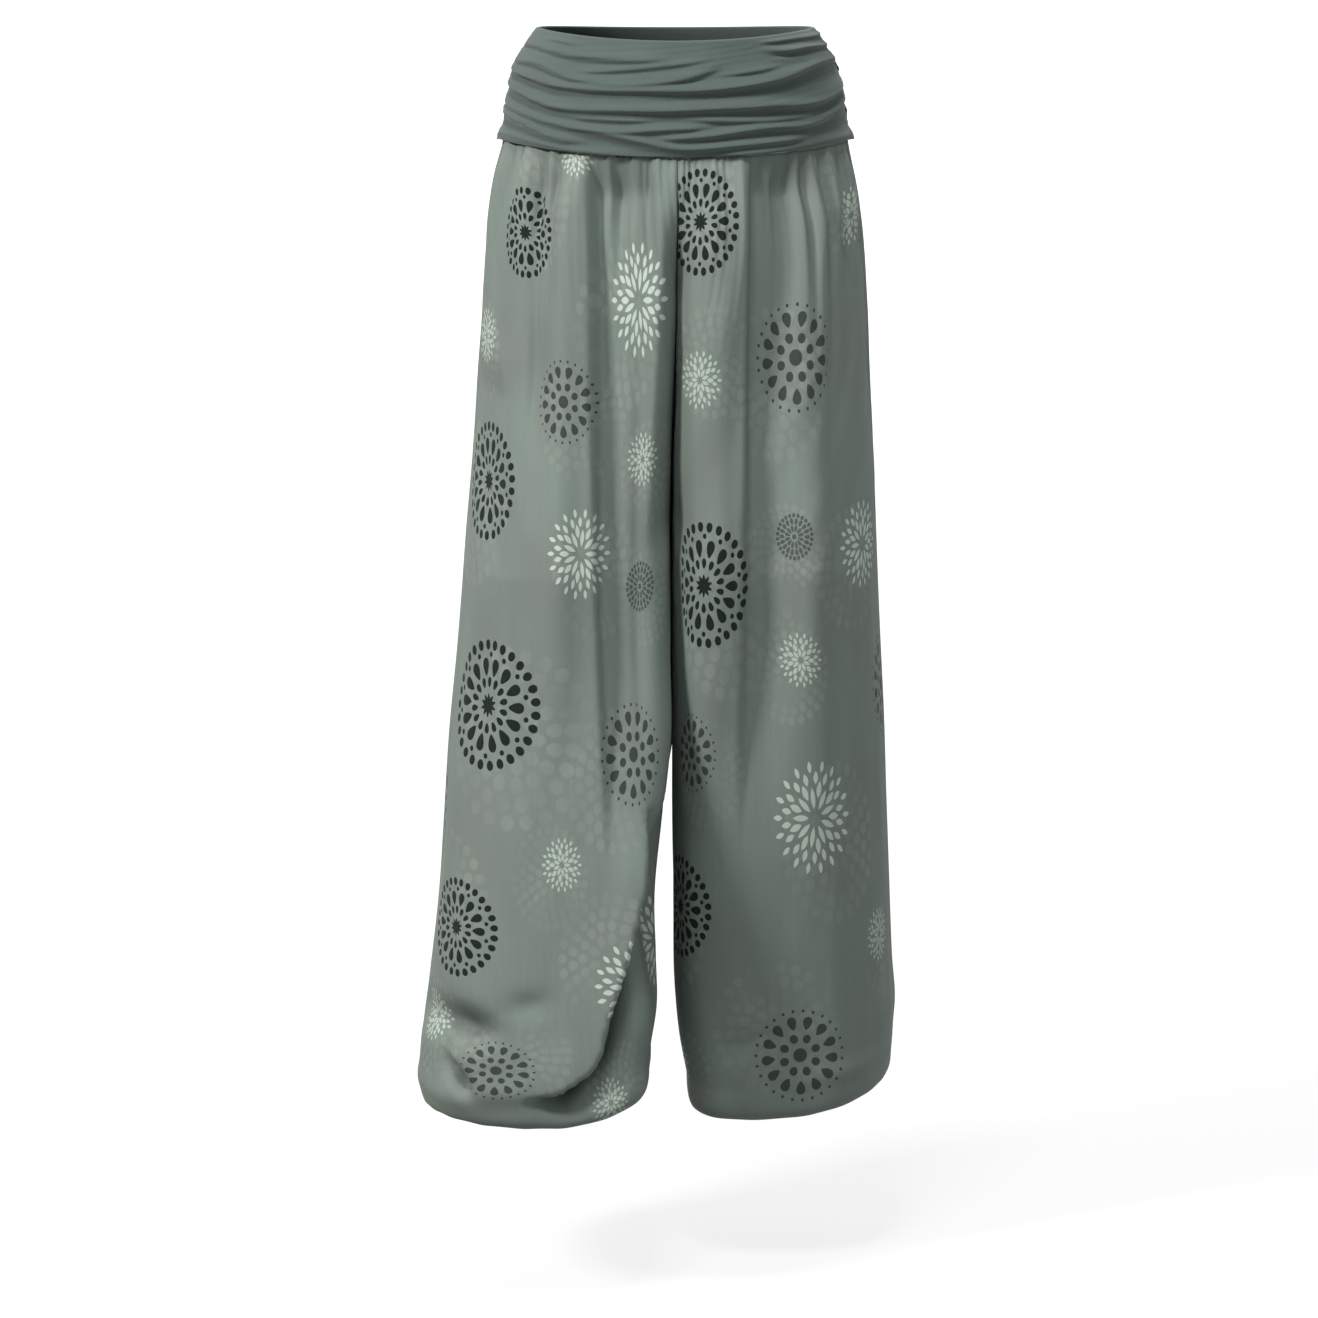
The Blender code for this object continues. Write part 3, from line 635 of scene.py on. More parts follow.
@dataclass(frozen=True)
class Ruche:
    """A ridge of the ruching across the flap.

    Attributes:
        line: places of its crest, each a share of the way across and a share of the flap's height.
        upper: soft width of the flank above the crest, in shares of the flap's height.
        lower: soft width of the flank below it.
        height: how far it stands out, in metres.
        ends: share of the way across in which the crest fades at either end.
        steep: how steep the upper flank is.
        soft: how soft the lower one is.
    """

    line: tuple
    upper: float
    lower: float
    height: float
    ends: float = 0.09
    steep: float = 1.6
    soft: float = 2.0

    def relief(self, across: np.ndarray, up: np.ndarray) -> np.ndarray:
        """Height by the distance d from the crest, faded at both ends of the crest.

        Below the crest it is exp(-(d/w)^2). Above it is exp(1 - sqrt(1 + (s d/w)^2)), a flank that is
        steepest near the crest.
        """
        places = np.array(self.line)
        crest = smooth_curve(across, places[:, 0], places[:, 1])
        first, last = places[0, 0], places[-1, 0]
        shown = ease(across, first, first + self.ends) * ease(across, last, last - self.ends)
        away = up - crest
        below = np.exp(-((away / (self.soft * self.lower)) ** 2))
        above = np.exp(1 - np.sqrt(1 + (self.steep * away / self.upper) ** 2))
        return self.height * shown * np.where(away < 0, below, above)


BAND_BODY = (
    BandRow(-0.090, 0.1580, 0.1150),
    BandRow(-0.060, 0.1525, 0.1115),
    BandRow(-0.032, 0.1475, 0.1080),
    BandRow(-0.010, 0.1430, 0.1050),
    BandRow(0.010, 0.1375, 0.1010),
    BandRow(0.028, 0.1275, 0.0950),
    BandRow(0.048, 0.1165, 0.0890),
)
WAIST_SEAM = EdgeLine(-0.0578, 0.0095, 0.0)


def ruches(*rows: tuple) -> tuple:
    """Ruches, a row each: the upper and lower width and the height, then the places of the crest."""
    return tuple(Ruche(tuple(line), *sizes) for sizes, *line in rows)


RUCHES = {
    Face.FRONT: ruches(
        ((0.050, 0.026, 0.0044), (-0.1, 0.86), (0.14, 0.90), (0.23, 0.875), (0.36, 0.86), (0.52, 0.87)),
        ((0.022, 0.018, 0.0030), (0.12, 0.965), (0.21, 0.965), (0.32, 0.925)),
        (
            (0.060, 0.024, 0.0056), (-0.1, 0.80), (0.08, 0.75), (0.18, 0.757), (0.29, 0.66), (0.45, 0.657),
            (0.55, 0.74), (0.61, 0.83),
        ),
        ((0.034, 0.018, 0.0036), (0.25, 0.71), (0.35, 0.74), (0.43, 0.785), (0.60, 0.87)),
        (
            (0.056, 0.022, 0.0064), (-0.1, 0.80), (0.033, 0.685), (0.156, 0.632), (0.26, 0.585),
            (0.43, 0.595), (0.6, 0.612), (0.74, 0.682), (0.81, 0.745), (1.1, 0.72),
        ),
        ((0.034, 0.020, 0.0034), (0.55, 0.70), (0.63, 0.73), (0.76, 0.77)),
        (
            (0.060, 0.022, 0.0062), (-0.1, 0.66), (0.036, 0.55), (0.124, 0.495), (0.26, 0.40),
            (0.43, 0.418), (0.64, 0.435), (0.815, 0.42), (0.93, 0.505), (1.1, 0.60),
        ),
        ((0.050, 0.040, 0.0022), (0.22, 0.50), (0.36, 0.49), (0.52, 0.50)),
        ((0.034, 0.018, 0.0036), (0.24, 0.305), (0.36, 0.32), (0.50, 0.325)),
        ((0.034, 0.018, 0.0036), (0.48, 0.345), (0.58, 0.32), (0.69, 0.295), (0.83, 0.30)),
        (
            (0.044, 0.020, 0.0050), (-0.1, 0.46), (0.056, 0.365), (0.12, 0.33), (0.27, 0.242),
            (0.40, 0.218), (0.47, 0.247), (0.60, 0.27),
        ),
        ((0.060, 0.026, 0.0050), (-0.1, 0.38), (0.035, 0.285), (0.147, 0.233), (0.275, 0.12), (0.36, 0.11)),
        (
            (0.040, 0.020, 0.0046), (0.31, 0.225), (0.38, 0.185), (0.436, 0.145), (0.49, 0.09),
            (0.62, 0.10), (0.80, 0.11),
        ),
        (
            (0.042, 0.020, 0.0052), (0.43, 0.16), (0.54, 0.185), (0.66, 0.235), (0.75, 0.225),
            (0.81, 0.253), (0.93, 0.385), (1.1, 0.50),
        ),
        ((0.040, 0.020, 0.0030), (-0.1, 0.09), (0.16, 0.068), (0.28, 0.033), (0.45, 0.012)),
        ((0.040, 0.020, 0.0030), (0.55, 0.010), (0.70, 0.025), (0.80, 0.05), (1.1, 0.07)),
        ((0.022, 0.020, 0.0062), (0.67, 0.93), (0.71, 0.905), (0.82, 0.902), (1.1, 0.86)),
        ((0.018, 0.014, 0.0050), (0.66, 0.985), (0.76, 0.990), (0.86, 0.985), (1.1, 0.965)),
        ((0.030, 0.024, 0.0026), (0.68, 0.81), (0.79, 0.80), (1.1, 0.72)),
    ),
    Face.BACK: ruches(
        ((0.044, 0.024, 0.0036), (-0.1, 0.90), (0.30, 0.86), (0.60, 0.88), (1.1, 0.90)),
        (
            (0.056, 0.022, 0.0056), (-0.1, 0.80), (0.12, 0.74), (0.30, 0.68), (0.55, 0.68), (0.80, 0.74),
            (1.1, 0.83),
        ),
        ((0.034, 0.018, 0.0030), (0.32, 0.80), (0.50, 0.775), (0.72, 0.82)),
        (
            (0.058, 0.022, 0.0062), (-0.1, 0.70), (0.15, 0.60), (0.35, 0.555), (0.60, 0.56), (0.85, 0.63),
            (1.1, 0.72),
        ),
        (
            (0.058, 0.022, 0.0062), (-0.1, 0.58), (0.15, 0.46), (0.40, 0.415), (0.65, 0.43), (0.88, 0.48),
            (1.1, 0.60),
        ),
        ((0.034, 0.018, 0.0030), (0.42, 0.50), (0.58, 0.485), (0.80, 0.54)),
        ((0.034, 0.018, 0.0034), (0.18, 0.345), (0.38, 0.325), (0.58, 0.335)),
        (
            (0.046, 0.020, 0.0050), (-0.1, 0.46), (0.10, 0.32), (0.32, 0.245), (0.58, 0.25), (0.85, 0.32),
            (1.1, 0.46),
        ),
        (
            (0.044, 0.020, 0.0048), (-0.1, 0.32), (0.14, 0.19), (0.40, 0.145), (0.68, 0.165), (0.88, 0.22),
            (1.1, 0.33),
        ),
        ((0.034, 0.018, 0.0034), (0.56, 0.36), (0.70, 0.355), (0.92, 0.42)),
        ((0.034, 0.018, 0.0036), (0.26, 0.085), (0.55, 0.075), (0.85, 0.11)),
        ((0.036, 0.018, 0.0030), (-0.1, 0.10), (0.30, 0.03), (0.70, 0.03), (1.1, 0.10)),
    ),
}


@dataclass
class Waistband:
    """The band: a ruched flap outside, folded over at its top edge, and a plain layer inside.

    Attributes:
        finish: the jersey.
        top: the fold.
        hem: the flap's lower edge.
        layer: distance of either layer's middle from the body's outline.
        wall: thickness of the cloth.
        rest: height of the flap between its ridges.
        flare: how far the hem's corners stand out at the side seams.
        sag: how far a ridge hangs down, in shares of its height.
        swell: factor on the ridges' heights.
        calm: share of the ridges' height that is left at the side seams.
        calm_width: share of the way across in which they reach their full height.
        pucker: height of the small puckers at the side seams.
        pucker_width: how far in they reach, in shares of the way across.
        pucker_waves: their wavelengths, across and up.
        wrinkle: height of the fine wrinkles.
        wrinkle_waves: their wavelengths, across and up.
        seeds: the patterns of the puckers and of the wrinkles.
        fold_fade: share of the height where the ruches fade into the fold.
        hem_fade: shares of the height between which they rise at the hem.
        corner: reach of the hem's flared corners, in shares across and up.
        crowding: how much closer the columns stand near the side seams.
        radius: mean radius of the body, which turns the seam's gap into a share.
        cloth_width: metres of cloth from side seam to side seam.
        flap_rows: rows of points up the flap.
        roll_rows: rows over the fold.
        lining_rows: rows down the inner layer.
        columns: strips across each half.
    """

    finish: RibJersey
    top: EdgeLine = EdgeLine(0.0390, 0.0085, 0.0035)
    hem: EdgeLine = EdgeLine(-0.0570, 0.0095, 0.0)
    layer: float = 0.0014
    wall: float = 0.0010
    rest: float = 0.0006
    flare: float = 0.0034
    sag: float = 0.15
    swell: float = 1.15
    calm: float = 0.30
    calm_width: float = 0.10
    pucker: float = 0.0010
    pucker_width: float = 0.05
    pucker_waves: tuple = (9, 9)
    wrinkle: float = 0.00035
    wrinkle_waves: tuple = (6, 15)
    seeds: tuple = (11, 31)
    fold_fade: float = 0.965
    hem_fade: tuple = (-0.03, 0.01)
    corner: tuple = (0.06, 0.14)
    crowding: float = 0.45
    radius: float = 0.108
    cloth_width: float = 0.43
    flap_rows: int = 132
    roll_rows: int = 9
    lining_rows: int = 16
    columns: int = 130

    def body(self, angle: np.ndarray, z: np.ndarray) -> tuple:
        """The body's outline, an ellipse whose half axes vary with height, and its level normal.

        Args:
            angle: around the waist, 0 at +X.
            z: heights, of the same shape.

        Returns:
            Points and unit normals.
        """
        stations = column_of(BAND_BODY, "z")
        wide = smooth_curve(z, stations, column_of(BAND_BODY, "half_width"))
        deep = smooth_curve(z, stations, column_of(BAND_BODY, "half_depth"))
        point = np.stack([wide * np.cos(angle), deep * np.sin(angle), z], axis=-1)
        out = np.stack([deep * np.cos(angle), wide * np.sin(angle), 0 * z], axis=-1)
        return point, out / np.linalg.norm(out, axis=-1, keepdims=True)

    def ruching(self, face: Face, across: np.ndarray, up: np.ndarray) -> np.ndarray:
        """Height of the flap: the cube root of the summed cubes of its ridges, lower at the side seams,
        plus small puckers there, fine wrinkles and a flare at the hem's corners.

        Args:
            face: front or back.
            across: share of the way from seam to seam.
            up: share of the way from hem to fold.

        Returns:
            Heights in metres, shape (rows, columns).
        """
        raised = self.swell * sum(ruche.relief(across, up) ** 3 for ruche in RUCHES[face]) ** (1 / 3)
        edge = np.minimum(across, 1 - across)
        raised = raised * (self.calm + (1 - self.calm) * ease(edge, 0.0, self.calm_width))
        pucker, wrinkle = (
            ripple(across * waves[0], up * waves[1] + 0 * across, seed + face.value)
            for waves, seed in zip((self.pucker_waves, self.wrinkle_waves), self.seeds)
        )
        puckers = self.pucker * np.exp(-edge / self.pucker_width) * (0.5 + 0.5 * pucker)
        raised = raised + puckers + self.wrinkle * wrinkle
        fades = ease(up, 1.0, self.fold_fade) * ease(up, *self.hem_fade)
        corner = ease(edge, self.corner[0], 0.0) * ease(up, self.corner[1], 0.0)
        return self.rest + np.maximum(raised, -self.rest) * fades + self.flare * corner

    def path(self, face: Face) -> tuple:
        """The cloth's middle layer from the hem up over the fold and down to the waist seam.

        Args:
            face: front or back.

        Returns:
            Points, directions through the cloth, and cloth coordinates.
        """
        gap = SEAM_GAP / 2 / self.radius / math.pi
        even = np.linspace(0, 1, self.columns + 1)
        across = gap + (1 - 2 * gap) * (even - self.crowding * np.sin(TURN * even) / TURN)
        angle = (math.pi if face is Face.FRONT else 0.0) + math.pi * across
        top, hem, seam = self.top.height(angle), self.hem.height(angle), WAIST_SEAM.height(angle)
        up = np.linspace(0, 1, self.flap_rows)[:, None]
        turned = np.radians(np.linspace(0, 180, self.roll_rows + 2)[1:-1])[:, None]
        down = np.linspace(0, 1, self.lining_rows)[:, None]
        on_roll = self.layer + self.rest * np.cos(turned) ** 2 * (np.cos(turned) > 0)
        raised = self.ruching(face, across[None, :], up)
        flap = hem + (top - hem) * up - self.sag * (raised - self.rest)
        z = np.concatenate([flap, top + self.layer * np.sin(turned), top + (seam - top) * down])
        folded = on_roll * np.cos(turned) + 0 * across
        offset = np.concatenate([self.layer + raised, folded, -self.layer + 0 * (down * across)])
        facing = np.concatenate([0 * up, turned, math.pi + 0 * down])[:, :, None]
        point, out = self.body(angle + 0 * z, z)
        middle = point + out * offset[:, :, None]
        through = out * np.cos(facing) + np.array([0.0, 0.0, 1.0]) * np.sin(facing)
        steps = np.linalg.norm(np.diff(middle, axis=0), axis=2)
        length = np.concatenate([np.zeros((1, len(across))), np.cumsum(steps, axis=0)])
        cloth = np.stack([np.broadcast_to(across * self.cloth_width, length.shape), length], axis=-1)
        return middle, through, cloth

    def build(self) -> None:
        material = self.finish.material()
        for face in Face:
            middle, through, cloth = self.path(face)
            half = through * self.wall / 2
            name = f"waistband_{face.name.lower()}"
            piece = Shell(name + "_cloth", middle + half, middle - half, cloth).build(material)
            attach(piece, "root")
            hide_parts(name)
            LOG.info("%s: ruched flap and inner layer, %d faces", piece.name, len(piece.data.polygons))


# ---- Leg form --------------------------------------------------------------------------------------
@dataclass(frozen=True)
class Section:
    """A leg's cross-section.

    Attributes:
        z: its height.
        outer: distance of the side from the middle plane.
        inner: distance of the inner leg from it.
        front: its foremost y.
        back: its rearmost y.
        inner_y: y of the inner seam.
        side_y: y of the side seam.
    """

    z: float
    outer: float
    inner: float
    front: float
    back: float
    inner_y: float
    side_y: float


@dataclass(frozen=True)
class BagRow:
    """A step of the bag's turn towards the ankle: how far in, and how high above its lowest level."""

    inward: float
    height: float


@dataclass(frozen=True)
class Ankle:
    """An ankle: its centre, the bag's lowest level and its x, its rise to +Y, its curve in and out."""

    x: float
    y: float
    lowest: float
    low_x: float
    rise_y: float
    inner_curve: float
    outer_curve: float

    def level(self, x: np.ndarray, y: np.ndarray) -> np.ndarray:
        """The bag's lowest level at a place: a parabola either side of low_x and a slope along y."""
        beyond = x - self.low_x
        curve = np.where(beyond * self.low_x > 0, self.outer_curve, self.inner_curve)
        return self.lowest + curve * beyond**2 + self.rise_y * (y - self.y)


@dataclass(frozen=True)
class Fold:
    """A large fold.

    Attributes:
        x_top: x of its upper end.
        z_top: height of that.
        x_mid: x of its middle.
        z_mid: height of that.
        x_low: x of its lower end.
        z_low: height of that.
        minus_width: soft width of its flank towards -X.
        plus_width: soft width of its flank towards +X.
        depth: its height, less than 0 for a recess.
        floor: how squarely the wider flank ends; at 2 it ends softly, above that the recess has a floor.
        fading: share of its length in which it fades at the lower end.
        starts: from where to where it rises at the upper end, above and below z_top.
    """

    x_top: float
    z_top: float
    x_mid: float
    z_mid: float
    x_low: float
    z_low: float
    minus_width: float
    plus_width: float
    depth: float
    floor: float = 2.0
    fading: float = 0.36
    starts: tuple = (0.01, -0.03)

    def relief(self, x: np.ndarray, z: np.ndarray) -> np.ndarray:
        """Depth times exp(-(d/w)^n), d the distance along x from the curve, faded at both ends."""
        stations = (self.z_top, self.z_mid, self.z_low)
        line = smooth_curve(z, stations, (self.x_top, self.x_mid, self.x_low))
        fade = self.fading * (self.z_top - self.z_low)
        high, full = (self.z_top + start for start in self.starts)
        shown = ease(z, self.z_low, self.z_low + fade) * ease(z, high, full)
        aside = x - line
        width = np.where(aside < 0, self.minus_width, self.plus_width)
        power = np.where(width > min(self.minus_width, self.plus_width), self.floor, 2.0)
        return self.depth * shown * np.exp(-(np.abs(aside / width) ** power))


@dataclass(frozen=True)
class Dent:
    """A small hollow or swelling: its middle, half length, half width, turn in degrees, and height."""

    x: float
    z: float
    length: float
    width: float
    turn: float
    height: float

    def relief(self, x: np.ndarray, z: np.ndarray) -> np.ndarray:
        """Height times exp(-(a/length)^2 - (b/width)^2) in the dent's own turned axes a and b."""
        turn = math.radians(self.turn)
        a = ((x - self.x) * math.cos(turn) + (z - self.z) * math.sin(turn)) / self.length
        b = ((z - self.z) * math.cos(turn) - (x - self.x) * math.sin(turn)) / self.width
        return self.height * np.exp(-(a**2) - b**2)


@dataclass(frozen=True)
class Unevenness:
    """Seeded soft waves of the cloth.

    Attributes:
        height: how far they stand out.
        waves: for a pucker the waves in the panel's width, for slack the length of one, in metres.
        length: length of a wave downwards, in metres.
        step: sets its seed apart.
        fades: distances from the waist seam between which it rises; the first may be the larger.
    """

    height: float
    waves: float
    length: float
    step: int
    fades: tuple

    def relief(self, across: np.ndarray, deep: np.ndarray, seed: int) -> np.ndarray:
        """Height times a ripple of the place across, in waves, and the distance down, times the fade."""
        return self.height * ripple(across, deep / self.length, seed + self.step) * ease(deep, *self.fades)


@dataclass(frozen=True)
class Gather:
    """A gather at the waist seam.

    Attributes:
        share: its place, a share of the panel's width.
        width: soft half width, in the same shares.
        height: how far it stands out, less than 0 for a groove.
        length: how far down it runs.
        swing: how far it sways aside on the way down.
        swing_length: length of that sway over 2 pi.
        swing_start: turn of the sway, in radians for each share of the width.
        widening: share of its width that it gains by its end.
        at_seam: share of its height that it has at the seam.
        rise: how far down it reaches its full height.
        tail: where it starts to fade.
    """

    share: float
    width: float
    height: float
    length: float
    swing: float = 0.006
    swing_length: float = 0.06
    swing_start: float = 40
    widening: float = 0.9
    at_seam: float = 0.40
    rise: float = 0.030
    tail: float = 0.012

    def relief(self, share: np.ndarray, deep: np.ndarray) -> np.ndarray:
        """Height times exp(-(d/w)^2) times a fade over the length; it widens and sways on the way down."""
        sway = self.swing * np.sin(deep / self.swing_length + self.swing_start * self.share)
        width = self.width * (1 + self.widening * deep / self.length)
        fade = self.at_seam + (1 - self.at_seam) * ease(deep, 0.0, self.rise)
        away = (share - self.share - sway) / width
        return self.height * (fade * ease(deep, self.length, self.tail)) * np.exp(-(away**2))


HIP_SECTIONS = (
    Section(-0.0578, 0.1521, 0.0, -0.1115, 0.1127, 0.0, 0.0),
    Section(-0.0750, 0.1555, 0.0, -0.1165, 0.1180, 0.0, 0.0),
    Section(-0.0900, 0.1590, 0.0, -0.1200, 0.1225, 0.0, 0.0),
    Section(-0.1250, 0.1650, 0.0, -0.1270, 0.1305, 0.0, 0.0),
    Section(-0.2000, 0.1710, 0.0, -0.1350, 0.1395, 0.0, 0.0),
)
LEG_SECTIONS = {
    Side.RIGHT: HIP_SECTIONS
    + (
        Section(-0.2800, 0.1770, 0.000, -0.1420, 0.1400, 0.000, -0.003),
        Section(-0.3600, 0.1830, 0.000, -0.1480, 0.1340, 0.000, -0.010),
        Section(-0.4300, 0.1885, 0.000, -0.1530, 0.1240, 0.000, -0.020),
        Section(-0.5000, 0.1940, 0.0005, -0.1600, 0.1120, -0.018, -0.032),
        Section(-0.5800, 0.2015, 0.0015, -0.1710, 0.0960, -0.040, -0.047),
        Section(-0.6500, 0.2060, 0.0100, -0.1830, 0.0780, -0.058, -0.062),
        Section(-0.7200, 0.2105, 0.018, -0.1950, 0.0580, -0.074, -0.078),
        Section(-0.7900, 0.2180, 0.017, -0.2060, 0.0400, -0.086, -0.090),
        Section(-0.8500, 0.2250, 0.017, -0.2130, 0.0300, -0.094, -0.098),
        Section(-0.8800, 0.2270, 0.022, -0.2140, 0.0280, -0.096, -0.100),
    ),
    Side.LEFT: HIP_SECTIONS
    + (
        Section(-0.2800, 0.1750, 0.000, -0.1380, 0.1430, 0.000, 0.002),
        Section(-0.3600, 0.1790, 0.000, -0.1380, 0.1460, 0.000, 0.008),
        Section(-0.4300, 0.1820, 0.000, -0.1340, 0.1500, 0.000, 0.015),
        Section(-0.5000, 0.1855, 0.0005, -0.1280, 0.1570, 0.012, 0.024),
        Section(-0.5800, 0.1900, 0.0005, -0.1190, 0.1660, 0.028, 0.034),
        Section(-0.6600, 0.1930, 0.0005, -0.1080, 0.1750, 0.042, 0.045),
        Section(-0.7400, 0.1965, 0.001, -0.0960, 0.1840, 0.054, 0.056),
        Section(-0.8200, 0.2000, 0.002, -0.0840, 0.1920, 0.064, 0.066),
        Section(-0.8700, 0.2030, 0.006, -0.0770, 0.1970, 0.071, 0.073),
        Section(-0.9000, 0.2010, 0.011, -0.0740, 0.1960, 0.074, 0.076),
    ),
}
BAG_PROFILE = (
    BagRow(0.000, 0.0300),
    BagRow(0.007, 0.0145),
    BagRow(0.034, 0.0045),
    BagRow(0.105, 0.0002),
    BagRow(0.270, 0.0010),
    BagRow(0.480, 0.0090),
    BagRow(0.740, 0.0170),
    BagRow(1.000, 0.0200),
)
ANKLES = {
    Side.RIGHT: Ankle(-0.136, -0.080, -0.9132, -0.110, -0.060, 3.1, 0.8),
    Side.LEFT: Ankle(0.097, 0.072, -0.9370, 0.062, -0.020, 1.3, 1.3),
}
FOLDS = {
    (Side.RIGHT, Face.FRONT): (
        Fold(-0.121, -0.070, -0.124, -0.200, -0.130, -0.340, 0.004, 0.020, -0.0075, 3.0),
        Fold(-0.072, -0.070, -0.068, -0.260, -0.054, -0.700, 0.0040, 0.056, -0.0205, 5.0),
        Fold(-0.098, -0.090, -0.100, -0.300, -0.104, -0.640, 0.018, 0.014, 0.0060),
        Fold(-0.160, -0.250, -0.168, -0.420, -0.178, -0.620, 0.018, 0.018, -0.0060),
        Fold(-0.043, -0.110, -0.041, -0.280, -0.034, -0.620, 0.010, 0.007, 0.0028),
    ),
    (Side.LEFT, Face.FRONT): (
        Fold(0.069, -0.070, 0.067, -0.300, 0.060, -0.700, 0.0040, 0.044, -0.0160, 4.0),
        Fold(0.140, -0.120, 0.144, -0.420, 0.152, -0.740, 0.009, 0.034, -0.0060, 3.0),
        Fold(0.116, -0.100, 0.114, -0.420, 0.100, -0.800, 0.022, 0.020, 0.0030),
        Fold(0.040, -0.100, 0.038, -0.330, 0.034, -0.640, 0.016, 0.014, 0.0050),
    ),
    (Side.RIGHT, Face.BACK): (
        Fold(-0.060, -0.080, -0.066, -0.340, -0.082, -0.800, 0.028, 0.009, -0.0135),
        Fold(-0.128, -0.100, -0.132, -0.360, -0.150, -0.700, 0.016, 0.016, -0.0085),
        Fold(-0.094, -0.120, -0.100, -0.360, -0.118, -0.760, 0.018, 0.018, 0.0060),
    ),
    (Side.LEFT, Face.BACK): (
        Fold(0.066, -0.080, 0.070, -0.380, 0.084, -0.820, 0.009, 0.028, -0.0135),
        Fold(0.122, -0.090, 0.130, -0.330, 0.140, -0.660, 0.016, 0.016, -0.0085),
        Fold(0.032, -0.140, 0.038, -0.360, 0.046, -0.700, 0.016, 0.016, 0.0060),
    ),
}


def gathers(*rows: tuple) -> tuple:
    """Gathers from rows of share, width, height and length."""
    return tuple(Gather(*row) for row in rows)


GATHERS = {
    (Side.RIGHT, Face.FRONT): gathers(
        (0.076, 0.026, 0.0042, 0.27), (0.122, 0.014, -0.0038, 0.18), (0.166, 0.022, 0.0048, 0.22),
        (0.245, 0.020, -0.0048, 0.19), (0.291, 0.024, 0.0048, 0.16), (0.423, 0.042, 0.0042, 0.32),
        (0.500, 0.016, -0.0048, 0.14), (0.545, 0.016, 0.0032, 0.11), (0.590, 0.018, -0.0042, 0.30),
        (0.668, 0.040, 0.0051, 0.20), (0.712, 0.012, -0.0038, 0.09), (0.787, 0.022, -0.0048, 0.16),
        (0.870, 0.026, 0.0042, 0.22), (0.935, 0.018, -0.0035, 0.14),
    ),
    (Side.LEFT, Face.FRONT): gathers(
        (0.058, 0.026, -0.0029, 0.14), (0.150, 0.034, 0.0022, 0.22), (0.273, 0.028, 0.0048, 0.20),
        (0.395, 0.024, 0.0038, 0.22), (0.440, 0.014, -0.0032, 0.11), (0.475, 0.016, -0.0045, 0.16),
        (0.511, 0.018, 0.0045, 0.19), (0.561, 0.014, -0.0045, 0.30), (0.600, 0.016, 0.0042, 0.16),
        (0.650, 0.016, -0.0048, 0.22), (0.704, 0.022, 0.0045, 0.27), (0.776, 0.020, -0.0045, 0.16),
        (0.850, 0.026, 0.0042, 0.19), (0.925, 0.020, -0.0035, 0.14),
    ),
    (Side.RIGHT, Face.BACK): gathers(
        (0.070, 0.026, 0.0042, 0.22), (0.135, 0.018, -0.0042, 0.16), (0.200, 0.026, 0.0045, 0.27),
        (0.265, 0.018, -0.0045, 0.14), (0.350, 0.030, 0.0042, 0.20), (0.425, 0.020, -0.0045, 0.19),
        (0.490, 0.024, 0.0048, 0.15), (0.560, 0.020, -0.0045, 0.24), (0.640, 0.030, 0.0048, 0.30),
        (0.715, 0.018, -0.0042, 0.14), (0.790, 0.026, 0.0045, 0.19), (0.865, 0.020, -0.0042, 0.16),
        (0.935, 0.022, 0.0035, 0.14),
    ),
    (Side.LEFT, Face.BACK): gathers(
        (0.060, 0.024, -0.0035, 0.16), (0.120, 0.026, 0.0042, 0.27), (0.190, 0.018, -0.0045, 0.19),
        (0.255, 0.024, 0.0045, 0.16), (0.325, 0.020, -0.0045, 0.22), (0.400, 0.028, 0.0045, 0.30),
        (0.480, 0.018, -0.0042, 0.14), (0.550, 0.028, 0.0048, 0.20), (0.625, 0.018, -0.0045, 0.19),
        (0.700, 0.026, 0.0045, 0.16), (0.775, 0.020, -0.0045, 0.24), (0.850, 0.026, 0.0042, 0.16),
        (0.925, 0.020, -0.0035, 0.14),
    ),
}
DENTS = {
    (Side.RIGHT, Face.FRONT): (
        Dent(-0.187, -0.818, 0.027, 0.015, -8, -0.0230),
        Dent(-0.128, -0.796, 0.018, 0.011, 10, -0.0046),
        Dent(-0.192, -0.862, 0.013, 0.0056, -48, -0.0280),
        Dent(-0.2045, -0.842, 0.028, 0.0050, 90, -0.0070),
        Dent(-0.150, -0.872, 0.050, 0.012, 6, 0.0040),
        Dent(-0.205, -0.885, 0.030, 0.010, -14, 0.0030),
    ),
    (Side.LEFT, Face.FRONT): (
        Dent(0.060, -0.862, 0.020, 0.012, 30, -0.0030),
        Dent(0.150, -0.890, 0.045, 0.010, 8, 0.0026),
    ),
    (Side.RIGHT, Face.BACK): (
        Dent(-0.150, -0.840, 0.030, 0.010, 12, -0.0036),
        Dent(-0.070, -0.870, 0.040, 0.011, -8, 0.0034),
    ),
    (Side.LEFT, Face.BACK): (
        Dent(0.130, -0.850, 0.026, 0.010, -14, -0.0036),
        Dent(0.070, -0.885, 0.040, 0.011, 6, 0.0034),
    ),
}
PUCKERS = (
    Unevenness(0.0007, 24, 0.10, 0, (0.07, 0.0)),
    Unevenness(0.0010, 30, 0.45, 1, (0.26, 0.0)),
)
SLACK = (
    Unevenness(0.0020, 0.115, 1.10, 9, (0.02, 0.16)),
    Unevenness(0.0006, 0.045, 0.28, 5, (0.02, 0.10)),
)


